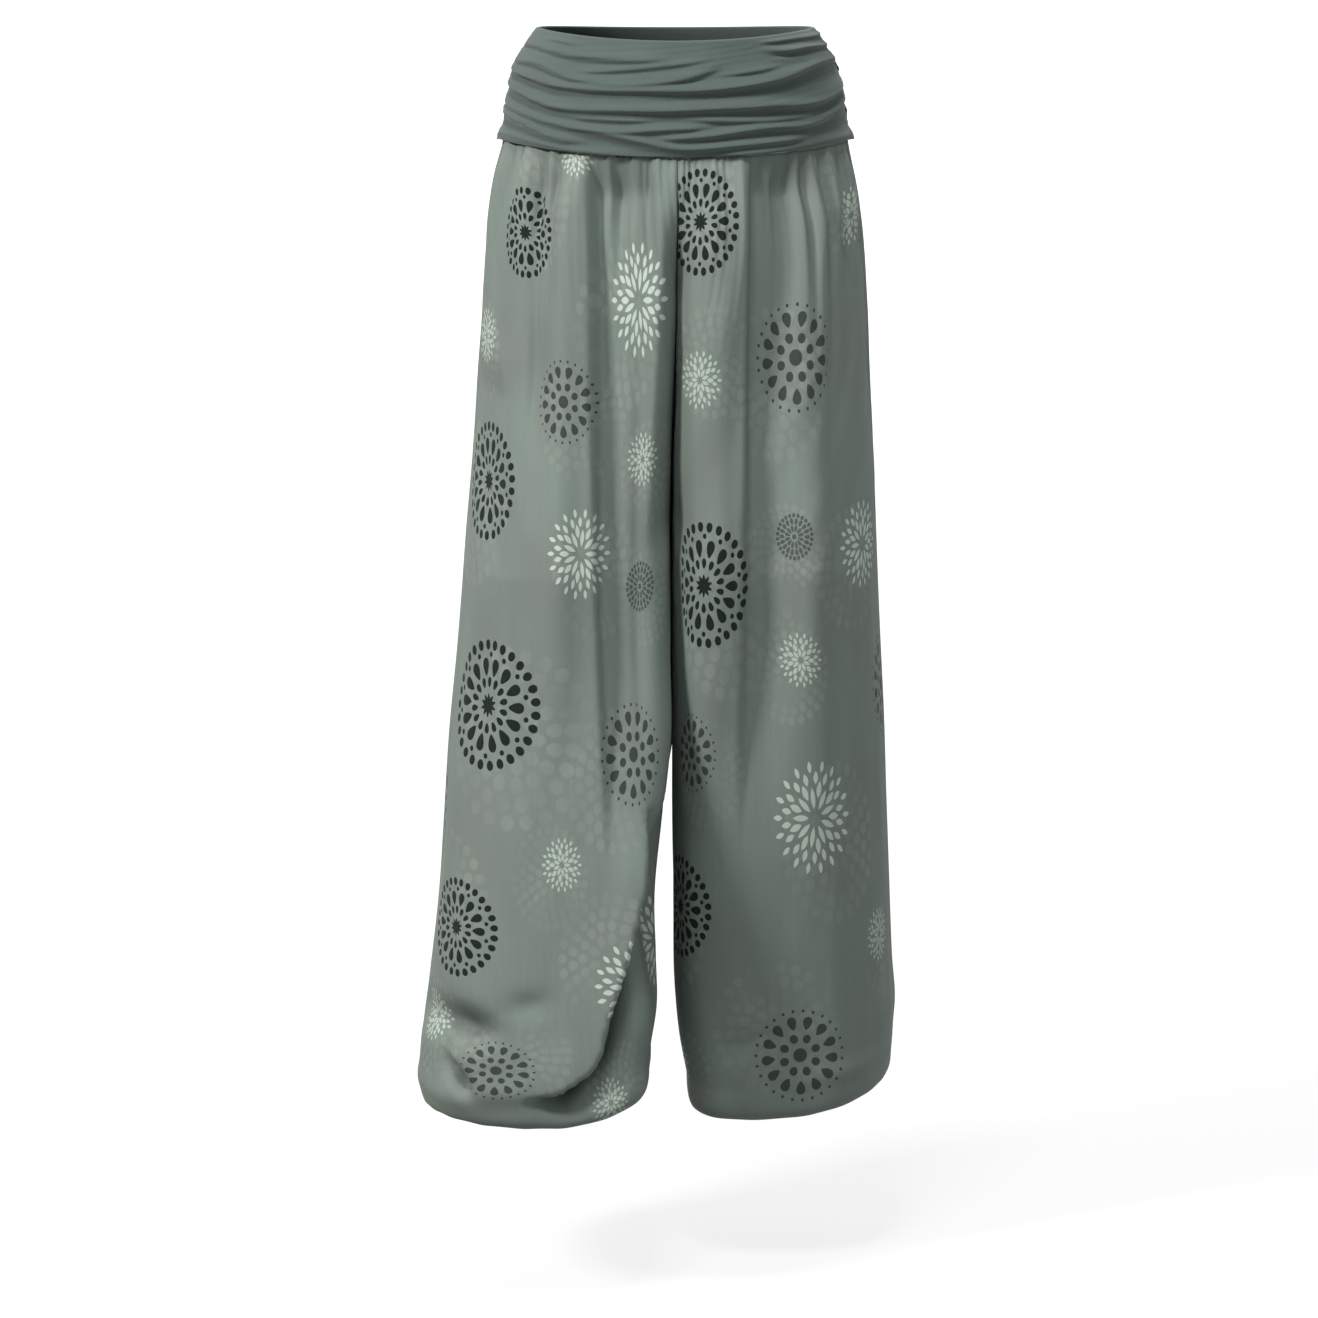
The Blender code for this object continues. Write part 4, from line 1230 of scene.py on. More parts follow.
@dataclass(frozen=True)
class Lip:
    """The edge of the forward leg's bag, where its front laps over the cloth inside it.

    Attributes:
        line: the edge's places, x and z, from the inner leg down and out to the side.
        bulge: how far the front stands out beside the edge.
        bulge_width: soft width of that.
        tuck: how deep the cloth lies inside the edge.
        tuck_width: soft width of that.
        shallow: share of the tuck that is left at the edge's lower run.
        slit: how much deeper it goes right beside the edge, near its lower end.
        thin: share of that along the rest of the edge.
        slit_narrow: soft width of that at the edge's ends.
        slit_wide: soft width of that near its lower end.
        edge: half width of the step.
        lap: how far the front laps over, in widths of the slit.
        lap_width: soft width of the lapping part.
        taken: metres of cloth that the fold hides beside the edge.
        ends: places along the edge, 0 to 1, where the fold has risen and where it starts to sink.
        shallows: places along it between which the tuck grows shallow.
        mouth: place along it where the slit is deepest.
        mouth_width: soft width of that.
        steps: places at which the edge's curve is read.
    """

    line: tuple = (
        (-0.0180, -0.620),
        (-0.0285, -0.685),
        (-0.0428, -0.755),
        (-0.0588, -0.806),
        (-0.0660, -0.836),
        (-0.0760, -0.852),
        (-0.0900, -0.860),
        (-0.1120, -0.869),
        (-0.1350, -0.882),
    )
    bulge: float = 0.0080
    bulge_width: float = 0.034
    tuck: float = 0.0200
    tuck_width: float = 0.034
    shallow: float = 0.40
    slit: float = 0.0470
    thin: float = 0.34
    slit_narrow: float = 0.0075
    slit_wide: float = 0.0150
    edge: float = 0.0030
    lap: float = 0.75
    lap_width: float = 0.010
    taken: float = 0.034
    ends: tuple = (0.14, 0.82)
    shallows: tuple = (0.45, 0.72)
    mouth: float = 0.86
    mouth_width: float = 0.11
    steps: int = 91

    def beside(self, x: np.ndarray, z: np.ndarray) -> tuple:
        """Where places lie beside the edge.

        Args:
            x: places on the form.
            z: the same.

        Returns:
            Distance from the edge, 0 to 1 from outside it to inside, place along it from 0 to 1, the
            direction inwards, and how much of the fold is left there, which fades at the edge's ends.
        """
        places = np.array(self.line)
        stations, fine = np.linspace(0, 1, len(places)), np.linspace(0, 1, self.steps)
        line = np.stack([smooth_curve(fine, stations, places[:, k]) for k in (0, 1)], axis=-1)
        away = np.stack([x, z], axis=-1)[..., None, :] - line
        nearest = np.argmin((away**2).sum(axis=-1), axis=-1)
        away = np.take_along_axis(away, nearest[..., None, None], axis=-2)[..., 0, :]
        run = np.gradient(line, axis=0)[nearest]
        run = run / np.linalg.norm(run, axis=-1, keepdims=True)
        inwards = np.stack([-run[..., 1], run[..., 0]], axis=-1)
        aside = (away * inwards).sum(axis=-1)
        far = np.linalg.norm(away, axis=-1)
        inside = ease(aside, -self.edge, self.edge)
        at = fine[nearest]
        return far, inside, at, inwards, ease(at, 0.0, self.ends[0]) * ease(at, 1.0, self.ends[1])

    def hidden(self, x: np.ndarray, z: np.ndarray) -> np.ndarray:
        """Metres of cloth taken up by the fold between places outside the edge and these.

        Args:
            x: places on the form.
            z: the same.

        Returns:
            Lengths.
        """
        _, inside, _, _, ends = self.beside(x, z)
        return self.taken * inside * ends

    def relief(self, x: np.ndarray, z: np.ndarray) -> tuple:
        """The bulge outside the edge less the tuck inside it, and the front's shift over the edge.

        Either height is its size times exp(-(d/w)^2) of the distance d from the edge, faded at the edge's
        ends. The shift is the lap times the same curve, square to the edge.

        Args:
            x: places on the form.
            z: the same.

        Returns:
            Heights along the form's normal, and shifts in x and z.
        """
        far, inside, at, inwards, ends = self.beside(x, z)
        bulge = self.bulge * np.exp(-((far / self.bulge_width) ** 2)) * (1 - inside)
        depth = self.tuck * (1 - (1 - self.shallow) * ease(at, *self.shallows))
        tuck = depth * np.exp(-((far / self.tuck_width) ** 2)) * inside
        mouth = np.exp(-(((at - self.mouth) / self.mouth_width) ** 2))
        wide = self.slit_narrow + (self.slit_wide - self.slit_narrow) * mouth
        slit = self.slit * (self.thin + (1 - self.thin) * mouth)
        tuck = tuck + slit * np.exp(-((far / wide) ** 2)) * inside
        lap = self.lap * wide * np.exp(-((far / self.lap_width) ** 2)) * (1 - inside) * ends
        return (bulge - tuck) * ends, inwards * lap[..., None]


LIP = Lip()


# ---- Print ------------------------------------------------------------------------------------------
@dataclass(frozen=True)
class Print:
    """A motif on a panel: its middle across from the inner seam and down from the waist, and its size."""

    motif: Motif
    across: float
    down: float
    width: float
    height: float


@dataclass(frozen=True)
class PrintPlan:
    """The motifs of one panel.

    Attributes:
        prints: the motifs.
        spread: how far out of its middle a motif reaches, in its own radii.
        small: width under which a motif is a small one.
        growth: how much larger a shadow is than its motif, if that is small and if not.
        aside: shift of a shadow across, in widths, by turns.
        below: shift down, in heights, on the first of every three motifs and on the other two.
    """

    prints: tuple
    spread: float = 1.3
    small: float = 0.045
    growth: tuple = (2.1, 1.55)
    aside: tuple = (-0.26, 0.30)
    below: tuple = (-0.30, 0.24)

    @classmethod
    def of(cls, *groups: tuple) -> "PrintPlan":
        """A plan from groups: a motif, then the across, down, width and height of each of its prints."""
        return cls(tuple(Print(motif, *row) for motif, *rows in groups for row in rows))

    def ghosts(self) -> "PrintPlan":
        """The pale shadows: one larger round beside each motif, on alternate sides."""
        made = []
        for i, p in enumerate(self.prints):
            grown = self.growth[p.width > self.small]
            across = p.across + self.aside[i % 2] * p.width
            down = p.down + self.below[i % 3 > 0] * p.height
            made.append(Print(Motif.STAR, across, down, p.width * grown, p.height * grown))
        return PrintPlan(tuple(made))

    def places(self, corners: np.ndarray) -> np.ndarray:
        """Each face's corners as places in its nearest motif, over the motif's half sizes.

        Args:
            corners: cloth coordinates of each face's corners, shape (faces, 4, 2).

        Returns:
            The place, of radius 1 at the motif's edge, and the motif's number, shape (faces, 4, 3).
        """
        centre = np.stack([column_of(self.prints, "across"), column_of(self.prints, "down")], axis=-1)
        half = np.stack([column_of(self.prints, "width"), column_of(self.prints, "height")], axis=-1) / 2
        away = np.linalg.norm((corners.mean(axis=1)[:, None] - centre) / half, axis=-1)
        nearest = away.argmin(axis=1)
        local = (corners - centre[nearest][:, None]) / half[nearest][:, None]
        number = np.array([p.motif.value for p in self.prints])[nearest] * (away.min(axis=1) < self.spread)
        return np.concatenate([local, np.broadcast_to(number[:, None, None], (len(corners), 4, 1))], axis=-1)


PRINTS = {
    (Side.RIGHT, Face.FRONT): PrintPlan.of(
        (
            Motif.STAR,
            (0.2379, 0.0667, 0.052, 0.079), (0.2930, 0.2862, 0.100, 0.102), (0.2710, 0.4785, 0.108, 0.113),
            (0.3020, 0.6745, 0.094, 0.084),
        ),
        (
            Motif.DOTS,
            (0.1952, 0.2120, 0.054, 0.074), (0.1336, 0.5190, 0.063, 0.091), (0.2565, 0.7933, 0.070, 0.050),
        ),
        (
            Motif.BURST,
            (0.1308, 0.1220, 0.054, 0.104), (0.1827, 0.3440, 0.056, 0.080), (0.1395, 0.7189, 0.062, 0.080),
        ),
        (
            Motif.POSY,
            (0.1248, 0.2625, 0.034, 0.049), (0.1988, 0.6138, 0.035, 0.048), (0.1200, 0.8230, 0.036, 0.044),
            (0.2978, 0.1610, 0.040, 0.049), (0.3439, 0.7570, 0.042, 0.046), (0.1844, -0.0050, 0.033, 0.043),
        ),
        (Motif.ROSETTE, (0.1214, 0.3745, 0.036, 0.044)),
        (Motif.DOTS, (0.3700, 0.5900, 0.060, 0.088)),
        (Motif.BURST, (-0.0145, 0.7038, 0.056, 0.080)),
    ),
    (Side.LEFT, Face.FRONT): PrintPlan.of(
        (
            Motif.STAR,
            (0.1170, 0.0540, 0.066, 0.094), (0.1252, 0.3708, 0.078, 0.111), (0.0920, 0.6730, 0.080, 0.096),
        ),
        (
            Motif.DOTS,
            (0.3500, 0.4780, 0.072, 0.092), (0.2071, 0.1737, 0.068, 0.097), (0.1110, 0.5254, 0.050, 0.074),
            (0.2123, 0.8093, 0.083, 0.088),
        ),
        (Motif.BURST, (0.2236, 0.5841, 0.074, 0.107), (0.2962, 0.3434, 0.078, 0.078)),
        (
            Motif.POSY,
            (0.1193, 0.1912, 0.037, 0.052), (0.2100, 0.4394, 0.038, 0.050), (0.3094, 0.7063, 0.045, 0.052),
            (0.2826, 0.0542, 0.042, 0.053), (0.0793, 0.8238, 0.042, 0.048),
        ),
        (Motif.ROSETTE, (0.2051, 0.3297, 0.032, 0.042)),
        (Motif.BURST, (0.0250, 0.5200, 0.060, 0.086)),
        (Motif.DOTS, (0.0250, 0.7500, 0.064, 0.090)),
    ),
    (Side.RIGHT, Face.BACK): PrintPlan.of(
        (
            Motif.STAR,
            (0.1455, 0.0640, 0.070, 0.104), (0.2438, 0.2150, 0.078, 0.110), (0.0712, 0.4250, 0.084, 0.115),
            (0.2635, 0.5900, 0.080, 0.110), (0.1330, 0.7750, 0.076, 0.100),
        ),
        (
            Motif.DOTS,
            (0.2470, 0.1000, 0.050, 0.080), (0.2918, 0.3750, 0.066, 0.094), (0.1462, 0.5750, 0.062, 0.092),
            (0.2704, 0.8200, 0.072, 0.076),
        ),
        (
            Motif.BURST,
            (0.1254, 0.2200, 0.060, 0.096), (0.1785, 0.4100, 0.064, 0.092), (0.0536, 0.6300, 0.060, 0.086),
            (0.3332, 0.7150, 0.062, 0.088),
        ),
        (
            Motif.POSY,
            (0.1316, 0.3200, 0.037, 0.053), (0.3275, 0.1250, 0.034, 0.050), (0.2152, 0.6850, 0.037, 0.051),
            (0.3295, 0.4900, 0.034, 0.050), (0.0553, 0.8150, 0.034, 0.048),
        ),
        (Motif.ROSETTE, (0.2480, 0.3150, 0.033, 0.044), (0.0503, 0.5350, 0.033, 0.044)),
    ),
    (Side.LEFT, Face.BACK): PrintPlan.of(
        (
            Motif.STAR,
            (0.2263, 0.0900, 0.064, 0.100), (0.3012, 0.2600, 0.078, 0.110), (0.1145, 0.4900, 0.082, 0.114),
            (0.3462, 0.6100, 0.078, 0.108), (0.2342, 0.7900, 0.076, 0.096),
        ),
        (
            Motif.DOTS,
            (0.1240, 0.1700, 0.060, 0.092), (0.2157, 0.4150, 0.066, 0.094), (0.0824, 0.7050, 0.064, 0.092),
            (0.3603, 0.8150, 0.068, 0.074),
        ),
        (
            Motif.BURST,
            (0.1860, 0.2500, 0.062, 0.094), (0.3218, 0.4350, 0.062, 0.090), (0.2392, 0.6350, 0.068, 0.098),
            (0.0408, 0.3600, 0.058, 0.086),
        ),
        (
            Motif.POSY,
            (0.2850, 0.1500, 0.034, 0.052), (0.1381, 0.3700, 0.037, 0.052), (0.0505, 0.5700, 0.036, 0.050),
            (0.1572, 0.6600, 0.035, 0.050), (0.1205, 0.8250, 0.034, 0.046),
        ),
        (Motif.ROSETTE, (0.0380, 0.4600, 0.033, 0.044), (0.2923, 0.5150, 0.033, 0.044)),
    ),
}


# ---- Legs -------------------------------------------------------------------------------------------
def resampled(length: np.ndarray, values: np.ndarray, at: np.ndarray) -> np.ndarray:
    """Reads each row's values at its own lengths, straight between the two nearest stations.

    Args:
        length: rising stations, shape (rows, samples).
        values: values there, same shape.
        at: lengths to read at, shape (rows, columns).

    Returns:
        The values read, shape (rows, columns).
    """
    i = np.clip((length[:, None, :] <= at[:, :, None]).sum(axis=-1) - 1, 0, length.shape[1] - 2)
    low, high = np.take_along_axis(length, i, axis=1), np.take_along_axis(length, i + 1, axis=1)
    first, second = np.take_along_axis(values, i, axis=1), np.take_along_axis(values, i + 1, axis=1)
    return first + (second - first) * np.clip((at - low) / np.maximum(high - low, 1e-9), 0, 1)


@dataclass
class LegPanel:
    """One of the four panels of the legs, gathered into the band and bagged over the ankle.

    Places on it are given by along, from the inner seam, 0, to the side seam, 1, and by down, from the
    waist seam, 0, to where the bag starts to turn, 1, and under it to the ankle casing, 2.

    Attributes:
        side: which leg it is on.
        face: front or back.
        wall: thickness of the cloth.
        crotch_z: height of the crotch.
        split_power: how late the outline parts from the hip's on the way down to the crotch.
        inner_corner: how square the outline is at the front's inner leg.
        back_inner_corner: the same at the back's.
        outer_corner: the same at the side.
        corner_power: how closely the outline's steps crowd at its seams.
        dip_fades: share of the wall's height in which the waist seam's dip fades.
        bag_starts: share of the wall's height where it starts to meet the bag's own level.
        crowding: how much closer the columns stand near the seams.
        ankle_radius: radius of the gathered ring at the ankle.
        hem_gathers: gathers round half the hem.
        hem_depth: their depth.
        hem_rise: places down between which they rise under the bag.
        hem_uneven: how uneven they are.
        hem_waves: wavelengths of that, across and in each place down.
        ring_depth: half their depth at the ankle's ring.
        seam_groove: depth of the groove at each seam.
        seam_width: its soft width.
        seam_start: distance from the waist seam at which it has its full depth.
        valley: share of the depth that the cloth sinks in the middle, between the legs.
        valley_width: soft width of that.
        valley_from: heights between which it sets in.
        crotch_fade: how far above the crotch it starts to fade.
        grain_down: distance down the grain's line from its top to where the cloth's down is 0.
        sway: how far the middle plane sways with y.
        sway_width: soft width of that.
        sway_length: its length over 2 pi.
        grain_x: distance from the middle plane of the line that the cloth's grain runs down.
        grain_across: its place across the cloth.
        wall_end: place down where folds and slack have faded under the bag.
        lap_end: the same of the lapped fold.
        seam_fades: shares of the width between which the folds keep their full height.
        columns: strips across.
        wall_rows: rows of points down the wall.
        bag_rows: rows under the bag.
        outline_steps: points in each quarter of the level outline.
    """

    side: Side
    face: Face
    wall: float = 0.0007
    crotch_z: float = -0.430
    split_power: float = 1.6
    inner_corner: float = 6.0
    back_inner_corner: float = 4.0
    outer_corner: float = 2.4
    corner_power: float = 2.5
    dip_fades: float = 0.30
    bag_starts: float = 0.80
    crowding: float = 0.35
    ankle_radius: float = 0.0460
    hem_gathers: int = 13
    hem_depth: float = 0.0034
    hem_rise: tuple = (1.30, 1.85)
    hem_uneven: float = 0.5
    hem_waves: tuple = (6, 1.5)
    ring_depth: float = 0.0012
    seam_groove: float = 0.0008
    seam_width: float = 0.0022
    seam_start: float = 0.02
    valley: float = 0.20
    valley_width: float = 0.0095
    valley_from: tuple = (-0.080, -0.190)
    crotch_fade: float = 0.05
    grain_down: float = 0.0066
    sway: float = 0.0030
    sway_width: float = 0.0100
    sway_length: float = 0.0300
    grain_x: float = 0.10
    grain_across: float = 0.20
    wall_end: float = 1.30
    lap_end: float = 1.45
    seam_fades: tuple = (0.05, 0.96)
    columns: int = 150
    wall_rows: int = 246
    bag_rows: int = 34
    outline_steps: int = 240

    def along(self) -> np.ndarray:
        """Even places across."""
        return np.linspace(0, 1, self.columns + 1)

    def down(self) -> np.ndarray:
        """Even places down the wall, then on under the bag."""
        under = 1 + np.linspace(0, 1, self.bag_rows + 1)[1:]
        return np.concatenate([np.linspace(0, 1, self.wall_rows), under])

    def share(self) -> np.ndarray:
        """Shares of the panel's width at the columns, a - c sin(2 pi a) / (2 pi), closer near the seams."""
        along = self.along()
        return along - self.crowding * np.sin(TURN * along) / TURN

    def quarter(self, corner: float) -> tuple:
        """A quarter of a squared-off round: 1 - cos(t)^(2/n) across and sin(t)^(2/n) out."""
        angle = math.pi / 2 * np.linspace(0, 1, self.outline_steps) ** self.corner_power
        return 1 - np.cos(angle) ** (2 / corner), np.sin(angle) ** (2 / corner)

    def outline(self, z: np.ndarray) -> np.ndarray:
        """Level outlines: a half ellipse at the hip that turns into a squared-off half round below.

        Args:
            z: their heights.

        Returns:
            Points, shape (rows, columns, 3).
        """
        rows = LEG_SECTIONS[self.side]
        stations = column_of(rows, "z")
        outer, inner, front, back, inner_y, side_y = (
            smooth_curve(z, stations, column_of(rows, name))[:, None]
            for name in ("outer", "inner", "front", "back", "inner_y", "side_y")
        )
        edge = front if self.face is Face.FRONT else back
        hip = smooth_curve(
            np.maximum(z, HIP_SECTIONS[-1].z),
            column_of(HIP_SECTIONS, "z"),
            column_of(HIP_SECTIONS, "front" if self.face is Face.FRONT else "back"),
        )[:, None]
        corner = self.inner_corner if self.face is Face.FRONT else self.back_inner_corner
        in_across, in_out = self.quarter(corner)
        out_across, out_out = self.quarter(self.outer_corner)
        across = np.concatenate([in_across / 2, 1 - out_across[-2::-1] / 2])
        boxed = np.concatenate([in_out, out_out[-2::-1]])
        top = HIP_SECTIONS[0].z
        split = (np.clip((top - z) / (top - self.crotch_z), 0, 1) ** self.split_power)[:, None]
        inner = np.maximum(inner, SEAM_GAP / 2)
        x = inner + (outer - inner) * across
        y = inner_y + (side_y - inner_y) * across + self.face.value * SEAM_GAP / 2
        y = y + (1 - split) * hip * np.sqrt(1 - across**2) + split * (edge - (inner_y + side_y) / 2) * boxed
        steps = np.hypot(np.diff(x), np.diff(y))
        length = np.concatenate([0 * z[:, None], np.cumsum(steps, axis=1)], axis=1)
        at = self.share() * length[:, -1:]
        level = np.broadcast_to(z[:, None], at.shape)
        x, y = self.side.value * resampled(length, x, at), resampled(length, y, at)
        return np.stack([x, y, level], axis=-1)

    def ring(self, radius: float) -> np.ndarray:
        """The gathered ring round the ankle at the columns: r + d cos(2 pi n a) from its centre.

        Args:
            radius: mean radius of the ring.

        Returns:
            Points, shape (columns, 2).
        """
        ankle = ANKLES[self.side]
        start = math.pi if self.side is Side.LEFT else 0.0
        angle = start - self.side.value * self.face.value * math.pi * self.share()
        r = radius + self.ring_depth * np.cos(TURN * self.hem_gathers * self.along())
        y = ankle.y + self.face.value * SEAM_GAP / 2 + r * np.sin(angle)
        return np.stack([ankle.x + r * np.cos(angle), y], axis=-1)

    def form(self, down: np.ndarray) -> np.ndarray:
        """The smooth form: level outlines down the wall, then a turn in towards the ankle's ring.

        Args:
            down: places down the panel.

        Returns:
            Points, shape (rows, columns, 3).
        """
        rows, ankle = LEG_SECTIONS[self.side], ANKLES[self.side]
        top, turn = rows[0].z, rows[-1].z
        wall_share = np.minimum(down, 1.0)
        points = self.outline(top + (turn - top) * wall_share)
        x, y, z = (points[:, :, k] for k in range(3))
        if self.face is Face.FRONT:
            fading = ease(wall_share, self.dip_fades, 0.0)[:, None]
            z = z - WAIST_SEAM.front_dip * (1 - np.clip(np.abs(x) / rows[0].outer, 0, 1) ** 2) * fading
        z = z - SEAM_GAP * (wall_share == 0)[:, None]
        under = np.clip(down - 1.0, 0, 1)[:, None]
        stations = np.linspace(0, 1, len(BAG_PROFILE))
        inward = smooth_curve(under, stations, column_of(BAG_PROFILE, "inward"))
        height = smooth_curve(under, stations, column_of(BAG_PROFILE, "height"))
        ring = self.ring(self.ankle_radius + SEAM_GAP)
        low = ankle.level(x, y) * (1 - inward) + ankle.lowest * inward
        on_wall = z + ease(wall_share, self.bag_starts, 1.0)[:, None] * (low - turn + BAG_PROFILE[0].height)
        x = x + (ring[:, 0] - x) * inward
        y = y + (ring[:, 1] - y) * inward
        return np.stack([x, y, np.where(under > 0, height + low, on_wall)], axis=-1)

    def lengths(self, form: np.ndarray) -> tuple:
        """Distances along the smooth form, across from the inner seam and down from the waist seam."""
        across = np.cumsum(np.linalg.norm(np.diff(form, axis=1, prepend=form[:, :1]), axis=2), axis=1)
        down = np.cumsum(np.linalg.norm(np.diff(form, axis=0, prepend=form[:1]), axis=2), axis=0)
        return across, down

    def cloth(self, form: np.ndarray) -> np.ndarray:
        """Places on the flat cloth, whose grain runs down the line where x is grain_x.

        Across is the distance from that line along the level outline, plus grain_across. Down is the
        distance along that line to the same height, less grain_down. Under the bag, where the cloth is
        gathered, across stays as it is at the turn and down grows with the column's own length. The
        lapped fold hides some cloth, which is taken off across.

        Args:
            form: the smooth form.

        Returns:
            Places, shape (rows, columns, 2).
        """
        across, down = self.lengths(form)
        wall = form[: self.wall_rows]
        reach = self.side.value * wall[:, :, 0]
        at = np.full((self.wall_rows, 1), self.grain_x)
        line = resampled(reach, across[: self.wall_rows], at)
        line_y, line_z = (resampled(reach, wall[:, :, k], at)[:, 0] for k in (1, 2))
        run = np.cumsum(np.hypot(np.diff(line_y, prepend=line_y[0]), np.diff(line_z, prepend=line_z[0])))
        z = wall[:, :, 2]
        beyond = np.maximum(line_z[-1] - z, 0) - np.maximum(z - line_z[0], 0)
        u = across[: self.wall_rows] - line + self.grain_across
        v = np.interp(-z, -line_z, run) + beyond - self.grain_down
        under = down[self.wall_rows :] - down[self.wall_rows - 1]
        u = np.concatenate([u, np.broadcast_to(u[-1], under.shape)])
        if (self.side, self.face) == (Side.RIGHT, Face.FRONT):
            u = u - LIP.hidden(form[:, :, 0], form[:, :, 2])
        return np.stack([u, np.concatenate([v, v[-1] + under])], axis=-1)

    def relief(self, form: np.ndarray) -> tuple:
        """How the cloth departs from the form: gathers, puckers, large folds, dents, slack and the lip.

        Args:
            form: the smooth form.

        Returns:
            Heights along the form's normals, and shifts of the points.
        """
        key, seed = (self.side, self.face), 40 + 3 * self.side.value + self.face.value
        share, down = self.share()[None, :], self.down()[:, None]
        across, deep = self.lengths(form)
        x, z = form[:, :, 0], form[:, :, 2]
        height = sum(g.relief(share, deep) for g in GATHERS[key])
        for pucker in PUCKERS:
            height = height + pucker.relief(share * pucker.waves, deep, seed)
        inner_fade, side_fade = self.seam_fades
        on_wall = ease(down, self.wall_end, 1.0) * ease(share, 0.0, inner_fade) * ease(share, 1.0, side_fade)
        large = sum(f.relief(x, z) for f in FOLDS[key]) + sum(d.relief(x, z) for d in DENTS[key])
        slack = sum(wave.relief(across / wave.waves, deep, seed) for wave in SLACK)
        height = height + (large + slack) * on_wall
        wave = np.cos(TURN * (self.hem_gathers * self.along()[None, :]))
        uneven = 1 + self.hem_uneven * ripple(share * self.hem_waves[0], down * self.hem_waves[1], seed + 2)
        height = height + self.hem_depth / 2 * wave * uneven * ease(down, *self.hem_rise)
        edge = np.minimum(across, across[:, -1:] - across)
        groove = self.seam_groove * np.exp(-((edge / self.seam_width) ** 2))
        height = height - groove * ease(deep, 0.0, self.seam_start)
        parted = ease(z, *self.valley_from) * ease(z, self.crotch_z, self.crotch_z + self.crotch_fade)
        shift = np.zeros_like(form)
        if self.face is Face.FRONT:
            shift[:, :, 1] = -form[:, :, 1] * self.valley * np.exp(-((x / self.valley_width) ** 2)) * parted
        if key == (Side.RIGHT, Face.FRONT):
            lip, lap = LIP.relief(x, z)
            fades = ease(down, self.lap_end, 1.0) * ease(share, 0.0, inner_fade)
            height = height + lip * fades
            shift[:, :, 0], shift[:, :, 2] = lap[..., 0] * fades, lap[..., 1] * fades
        return height, shift

    def walls(self) -> tuple:
        """Outer and inner points of the cloth, and its cloth coordinates.

        The form's normal is the cross product of its two directions. At the side seam it is level
        with X, so that the two panels meet there edge to edge. No point crosses the middle plane, which
        itself sways a little with y, so that nothing shows through between the legs.

        Returns:
            Three grids.
        """
        form = self.form(self.down())
        cloth = self.cloth(form)
        normal = np.cross(np.gradient(form, axis=1), np.gradient(form, axis=0))
        normal = normal * self.side.value * self.face.value
        normal[:, 0, 1] *= 1 - ease(form[:, 0, 2], self.crotch_z + self.crotch_fade, self.crotch_z)
        normal[:, -1, 1] = 0.0
        normal /= np.linalg.norm(normal, axis=-1, keepdims=True)
        height, shift = self.relief(form)
        outer = form + normal * height[..., None] + shift
        outer[:, 0, 0] = form[:, 0, 0]
        turned = np.cross(np.gradient(outer, axis=1), np.gradient(outer, axis=0))
        turned = turned * self.side.value * self.face.value
        turned /= np.maximum(np.linalg.norm(turned, axis=-1, keepdims=True), 1e-12)
        turned[:, 0], turned[:, -1] = normal[:, 0], normal[:, -1]
        inner = outer - turned * self.wall
        outer[-1, :, :2] = form[-1, :, :2]
        inner[-1, :, :2] = form[-1, :, :2]
        inner[-1, :, 2] = outer[-1, :, 2] + self.wall
        for points in (outer, inner):
            points[:, :, 0] = self.side.value * np.maximum(self.side.value * points[:, :, 0], SEAM_GAP / 2)
            near = np.exp(-((points[:, :, 0] / self.sway_width) ** 2))
            points[:, :, 0] += self.sway * near * np.sin(points[:, :, 1] / self.sway_length)
        return outer, inner, cloth

    def build(self, material: bpy.types.Material) -> None:
        """Args:
            material: the printed cloth.
        """
        name = f"leg_{self.side.name.lower()}_{self.face.name.lower()}"
        plan = PRINTS[self.side, self.face]
        marks = {"motif": plan.places, "ghost": plan.ghosts().places}
        piece = Shell(name + "_cloth", *self.walls(), marks=marks).build(material)
        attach(piece, "root")
        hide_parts(name)
        LOG.info("%s: %d motifs, %d faces", piece.name, len(plan.prints), len(piece.data.polygons))


